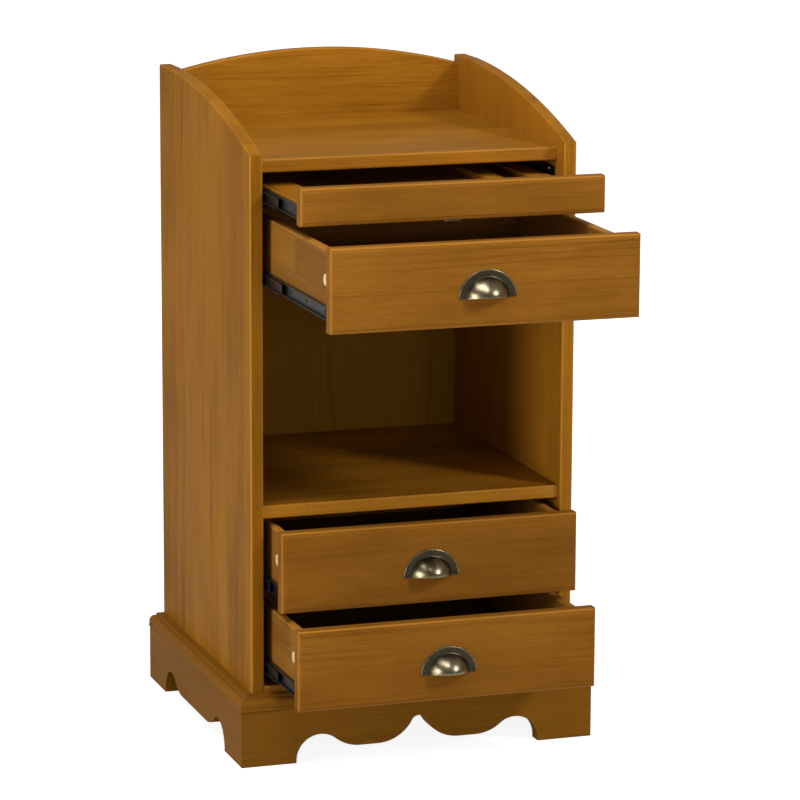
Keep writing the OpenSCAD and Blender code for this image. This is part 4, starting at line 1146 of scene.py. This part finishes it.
def rail_pair(name, section, body, material, y0, z, slots=()):
    """Both rails of one kind. Each slot is a distance from the rail's front end."""
    bm = bmesh.new()
    for s in (-1, 1):
        part = prism([(s * (INNER_X - x), z + h) for x, h in section], "y", y0, y0 + RAIL_L)
        ease(part, lambda m, d, e: abs(d.y) > 0.5 and is_sharp(e, 60), FOLD_R, 2)
        rail = link_mesh("rail", part)
        web_x = INNER_X - RAIL_GAP
        cutters = []
        for at in slots:
            through = prism(slot_outline(y0 + at, z), "x", s * (web_x - 1), s * (web_x + SHEET + 1))
            cutters.append(link_mesh("slot", through))
        carve(rail, cutters)
        bm.from_mesh(rail.data)
        bpy.data.objects.remove(rail)
    return piece("visual_" + name, bm, body, material, [name])


for name in OPENS:
    z, middle_y, drawer_y = LEVELS[name], RAIL_Y - MIDDLE_RUN[name], FRONT_BACK_Y - OPENS[name]
    rail_pair(name + "_outer_rails", outer_section(), "carcass", black_rail, RAIL_Y, z)
    rail_pair(name + "_middle_rails", middle_section(), name + "_middle", inner_rail, middle_y, z)
    rails = rail_pair(name + "_rails", drawer_section(), name, black_rail, drawer_y, z, SLOTS)
print("faces in a pair of drawer rails:", len(rails.data.polygons))

# %% [markdown]
# ## Fasteners with Geometry Nodes
# Screws, cams and pins repeat, so one node group sets a head on every point of a small point mesh.
# Each point carries the direction in which its head looks, and a seeded random turn for its slot.

# %% Node group: Place fasteners
place_tree = group_tree("Place fasteners", [
    ("Geometry", "NodeSocketGeometry", None), ("Head", "NodeSocketObject", None),
    ("Seed", "NodeSocketInt", 1), ("Material", "NodeSocketMaterial", None)],
    [("Geometry", "NodeSocketGeometry")], "GeometryNodeTree")
t = Tree(place_tree)
ins = t.node("NodeGroupInput").outputs
head = t.node("GeometryNodeObjectInfo", {"Object": ins["Head"]})
points = t.node("GeometryNodeMeshToPoints", {"Mesh": ins["Geometry"]})
aim = t.node("GeometryNodeInputNamedAttribute", {"Name": "aim"}, data_type="FLOAT_VECTOR")
look = t.node("FunctionNodeAlignRotationToVector", {"Vector": aim.outputs[0]}, axis="Z")
spin = t.node("FunctionNodeRandomValue", {2: 0.0, 3: math.tau, "Seed": ins["Seed"]}, data_type="FLOAT")
about = t.node("FunctionNodeAxisAngleToRotation", {"Axis": (0, 0, 1), "Angle": spin.outputs[1]})
both = t.node("FunctionNodeRotateRotation", {"Rotation": look.outputs[0], "Rotate By": about.outputs[0]},
              rotation_space="LOCAL")
placed = t.node("GeometryNodeInstanceOnPoints", {
    "Points": points.outputs[0], "Instance": head.outputs["Geometry"], "Rotation": both.outputs[0]})
real = t.node("GeometryNodeRealizeInstances", {0: placed.outputs[0]})
coated = t.node("GeometryNodeSetMaterial", {"Geometry": real.outputs[0], "Material": ins["Material"]})
t.node("NodeGroupOutput", {"Geometry": coated.outputs[0]})


def place_heads(name, head_obj, places, body, material, stands_for, seed):
    """Sets a head at each place, which is a pair: its position in mm and the direction that it looks."""
    mesh = bpy.data.meshes.new(name)
    mesh.from_pydata([Vector(p) * MM for p, _ in places], [], [])
    aims = [component for _, way in places for component in way]
    mesh.attributes.new("aim", "FLOAT_VECTOR", "POINT").data.foreach_set("vector", aims)
    obj = bpy.data.objects.new(name, mesh)
    bpy.context.scene.collection.objects.link(obj)
    nodes = obj.modifiers.new("Fasteners", "NODES")
    nodes.node_group = place_tree
    given = {"Head": head_obj, "Seed": seed, "Material": material}
    for item in place_tree.interface.items_tree:
        if item.in_out == "INPUT" and item.name in given:
            nodes[item.identifier] = given[item.name]
    bake(obj)
    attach(obj, body)
    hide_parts(stands_for)
    print(name, "has", len(places), "heads")


# %% [markdown]
# ## The heads
# A pan head is a low dome with a cross cut into it. It is modelled once, lying at the origin and looking
# along +Z. The models are staged and hidden: only their copies belong to the chest.

# %% Model the fastener heads
CROSS_ARM = 0.26  # width of a cross's arm as a share of its length


def turned(profile, steps=24):
    """A solid turned about Z from (radius, height) points."""
    loops = []
    for r, h in profile:
        r = max(r, 0.02)
        loops.append([(r * math.cos(math.tau * i / steps), r * math.sin(math.tau * i / steps), h)
                      for i in range(steps)])
    return solid_from_loops(loops)


def head_object(name, profile, cross=0.0, depth=0.8):
    """A head of a profile, with a cross of this length and depth cut into it."""
    obj = link_mesh(name, turned(profile))
    if cross:
        top = max(h for _, h in profile)
        arm = cross * CROSS_ARM
        carve(obj, [link_mesh("cross", block((-w / 2, -l / 2, top - depth), (w / 2, l / 2, top + 1)))
                    for w, l in ((cross, arm), (arm, cross))])
    obj.data.shade_smooth()
    obj.data.set_sharp_from_angle(angle=math.radians(40))
    obj.hide_render = True
    obj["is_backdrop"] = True
    return obj


pan_curve = [(3.2, 0.0), (3.2, 0.5), (2.9, 1.1), (2.2, 1.55), (1.2, 1.76), (0.3, 1.8)]
pan_head = head_object("pan_head", pan_curve, 3.2)
small_pan = head_object("small_pan", [(3.0, 0.0), (3.0, 0.5), (2.6, 1.1), (1.6, 1.5), (0.3, 1.6)], 2.8, 0.7)
sunk_head = head_object("sunk_head", [(1.75, -1.2), (3.2, -0.02), (3.1, 0.0), (0.3, 0.0)], 3.0, 0.7)
cam_head = head_object("cam_head", [(7.5, -3.0), (7.5, 0.3), (7.2, 0.65), (6.6, 0.8), (0.3, 0.8)], 8.0, 0.6)
pin_head = head_object("pin_head", [(2.5, 0.0), (2.5, 0.35), (2.2, 0.8), (1.4, 1.1), (0.3, 1.2)])
print("faces in a pan head:", len(pan_head.data.polygons))

# %% [markdown]
# ## Where the fasteners sit
# The carcass screws hold the outer rails, the plinth and the back panel. Each drawer has screws in its rails,
# a cam in each side behind the front, and three pins that hold the pull's flange.

# %% Place the carcass screws
RUNNER_SCREW_Z = (CHANNEL_H / 2 + PLATE_H / 2) / 2  # above a rail's middle line, in its plate's free part
RUNNER_SCREWS_Y = (20.0, 198.0, 356.0)              # from the outer rail's front end
PLINTH_SCREWS_Y, PLINTH_SCREW_Z = (-175.0, 0.0, 175.0), 66.25
BACK_SCREWS_X, BACK_SCREWS_Z = (-159.0, 0.0, 159.0), (95.0, 343.5)

runner_screws = []
for s in (-1, 1):
    for name in OPENS:
        x, z = s * (INNER_X - SHEET), LEVELS[name] + RUNNER_SCREW_Z
        runner_screws += [((x, RAIL_Y + y, z), (-s, 0, 0)) for y in RUNNER_SCREWS_Y]
plinth_screws = [((s * INNER_X, y, PLINTH_SCREW_Z), (-s, 0, 0)) for s in (-1, 1) for y in PLINTH_SCREWS_Y]
back_y = BACK_PANEL_Y + BACK_PANEL_T
back_screws = [((x, back_y, z), (0, 1, 0)) for x in BACK_SCREWS_X for z in BACK_SCREWS_Z]
for name, head_obj, places, seed in (("visual_runner_screws", pan_head, runner_screws, 3),
                                     ("visual_plinth_screws", pan_head, plinth_screws, 4),
                                     ("visual_back_screws", small_pan, back_screws, 5)):
    place_heads(name, head_obj, places, "carcass", zinc, "carcass_screws", seed)

# %% Place the drawers' screws, cams and pins
DRAWER_SCREWS_Y = (30.0, 218.0, 366.0)           # from the drawer rail's front end
CAM_Y, CAM_DROP = 34.0, 48.0                     # a cam's place behind the front and below its top edge
PINS = ((0.0, 32.5), (-34.5, 4.0), (34.5, 4.0))  # pins of a pull: sideways and up from its foot
FLANGE_FACE = 1.35                               # how far the flange's face stands out

for name in OPENS:
    x, y0, z = INNER_X - WEB, FRONT_BACK_Y - OPENS[name], LEVELS[name]
    screws = [((s * x, y0 + y, z), (s, 0, 0)) for s in (-1, 1) for y in DRAWER_SCREWS_Y]
    place_heads(f"visual_{name}_screws", sunk_head, screws, name, zinc, f"{name}_screws", 7)
for drawer in DRAWERS:
    y, z = FRONT_BACK_Y - OPENS[drawer] + CAM_Y, FRONTS_Z[drawer] + FRONT_H - CAM_DROP
    cams = [((s * BOX_X, y, z), (s, 0, 0)) for s in (-1, 1)]
    place_heads(f"visual_{drawer}_cams", cam_head, cams, drawer, cream, f"{drawer}_cams", 8)
    y, z = face_y(drawer) - FLANGE_FACE, FRONTS_Z[drawer] + PULL_LOW
    pins = [((x, y, z + up), (0, -1, 0)) for x, up in PINS]
    place_heads(f"visual_{drawer}_pull_screws", pin_head, pins, drawer, brass,
                f"{drawer}_pull_screws", 9)

# %% [markdown]
# ## Floor and surroundings
# The floor glows for the camera, so that it ends in white, but its diffuse part still shows the chest's
# shadow. Metal mirrors a part of that glow. Other surfaces only see the diffuse part, so the gaps between the
# drawers stay dark. The world does the same: white for the camera, dimmer in a mirror, dim as light.

# %% Floor
MIRROR_GLOW = 0.30  # how bright the floor and the world behind the camera are in a mirror


def seen_in_mirror(t, rays):
    return t.math("ADD", rays["Is Glossy Ray"], rays["Is Transmission Ray"], clamp=True)


floor_material, t, shader = material_tree("White floor")
t.put(shader.inputs["Base Color"], (0.45, 0.45, 0.45, 1))
t.put(shader.inputs["Roughness"], 0.9)
t.put(shader.inputs["Specular IOR Level"], 0.0)
rays = t.node("ShaderNodeLightPath").outputs
mirror_part = t.math("MULTIPLY", seen_in_mirror(t, rays), MIRROR_GLOW)
seen = t.math("ADD", rays["Is Camera Ray"], mirror_part, clamp=True)
where = t.node("ShaderNodeTexCoord").outputs["Object"]
cloud = t.noise(where, 1.5, 2.0).outputs["Fac"]
outwards = t.span(t.length(where), 0.45, 1.0, 0.89, 1.02)
glow = t.math("MULTIPLY_ADD", t.centred(cloud), 0.02, outwards)
t.put(shader.inputs["Emission Color"], (1, 1, 1, 1))
t.put(shader.inputs["Emission Strength"], t.math("MULTIPLY", glow, seen))

FLOOR_HALF = 40  # metres
floor_mesh = bpy.data.meshes.new("floor")
corners = [(x * FLOOR_HALF, y * FLOOR_HALF, 0) for x, y in ((-1, -1), (1, -1), (1, 1), (-1, 1))]
floor_mesh.from_pydata(corners, [], [(0, 1, 2, 3)])
floor = bpy.data.objects.new("floor", floor_mesh)
bpy.context.scene.collection.objects.link(floor)
floor_mesh.materials.append(floor_material)
floor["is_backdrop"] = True
print("floor:", 2 * FLOOR_HALF, "m wide")

# %% World
scene = bpy.context.scene
scene.world = bpy.data.worlds.new("Studio")
scene.world.use_nodes = True
t = Tree(scene.world.node_tree)


def background(strength):
    return t.node("ShaderNodeBackground", {"Color": (1, 1, 1, 1), "Strength": strength}).outputs[0]


rays = t.node("ShaderNodeLightPath").outputs
toward = t.node("ShaderNodeSeparateXYZ", {0: t.node("ShaderNodeTexCoord").outputs["Generated"]}).outputs["Y"]
in_mirror = background(t.span(toward, -0.15, 0.25, 0.12, MIRROR_GLOW))
dim = t.node("ShaderNodeMixShader", {0: seen_in_mirror(t, rays), 1: background(0.21), 2: in_mirror})
mixed = t.node("ShaderNodeMixShader", {0: rays["Is Camera Ray"], 1: dim.outputs[0], 2: background(1.0)})
t.node("ShaderNodeOutputWorld", {"Surface": mixed.outputs[0]})
print("world:", len(scene.world.node_tree.nodes), "nodes")

# %% [markdown]
# ## Lamps
# A wide soft light hangs above and in front, a second one stands on the left and a third one behind, for the
# back. A smaller lamp shines from high up on the right: it draws the slanting shadow of the lowest drawer on
# the plinth. A weak fill in front shines into the open space. Metal mirrors neither it nor the back light.

# %% Lamps
def soft_light(name, place, target, size, power, mirrored=True):
    """A rectangular lamp that looks at a target. Sizes are in metres, power in watts."""
    data = bpy.data.lights.new(name, "AREA")
    data.shape, data.size, data.size_y, data.energy = "RECTANGLE", size[0], size[1], power
    obj = bpy.data.objects.new(name, data)
    scene.collection.objects.link(obj)
    obj.location = place
    obj.rotation_euler = (Vector(target) - Vector(place)).to_track_quat("-Z", "Y").to_euler()
    obj.visible_glossy = mirrored
    obj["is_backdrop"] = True
    print(name, power, "W")


soft_light("Top light", (-0.9, -1.0, 3.0), (0, -0.1, 0.5), (2.0, 0.9), 42)
soft_light("Left light", (-3.2, -1.1, 0.72), (0, 0, 0.40), (1.2, 1.7), 50)
soft_light("Back light", (1.5, 3.8, 1.6), (0, 0, 0.5), (1.8, 1.4), 42, mirrored=False)
soft_light("Right lamp", (2.4, -3.0, 3.0), (0, -0.2, 0.4), (0.7, 0.7), 80)
soft_light("Front fill", (0.2, -4.4, 0.9), (0, -0.2, 0.4), (1.6, 1.2), 42, mirrored=False)

# %% [markdown]
# ## Camera
# The camera stands to the left of the chest and a little above it, far away with a long lens, so that upright
# edges hardly converge. Its three turns are about Z, then the tilt down, then a slight roll.

# %% Camera
CAMERA_PLACE = (-1.6528, -5.0702, 1.5496)
TURN, TILT, ROLL = -0.325, math.pi / 2 - 0.2048, 0.0043  # radians

scene.view_settings.view_transform = "Standard"
camera_data = bpy.data.cameras.new("Camera")
camera_data.lens, camera_data.sensor_width = 174.54, 36.0
camera = bpy.data.objects.new("Camera", camera_data)
scene.collection.objects.link(camera)
turns = Matrix.Rotation(TURN, 4, "Z") @ Matrix.Rotation(TILT, 4, "X") @ Matrix.Rotation(ROLL, 4, "Z")
camera.matrix_world = Matrix.Translation(CAMERA_PLACE) @ turns
scene.camera = camera
print("camera:", round(camera_data.lens), "mm lens,", round(Vector(CAMERA_PLACE).length, 2), "m away")

# %% [markdown]
# ## Measure and finish
# The box of the finished looks is measured and printed; it is meant to lie within the CAD model's box.

# %% Finish
low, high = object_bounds()
print("visual box", [round(v, 5) for v in low], [round(v, 5) for v in high])
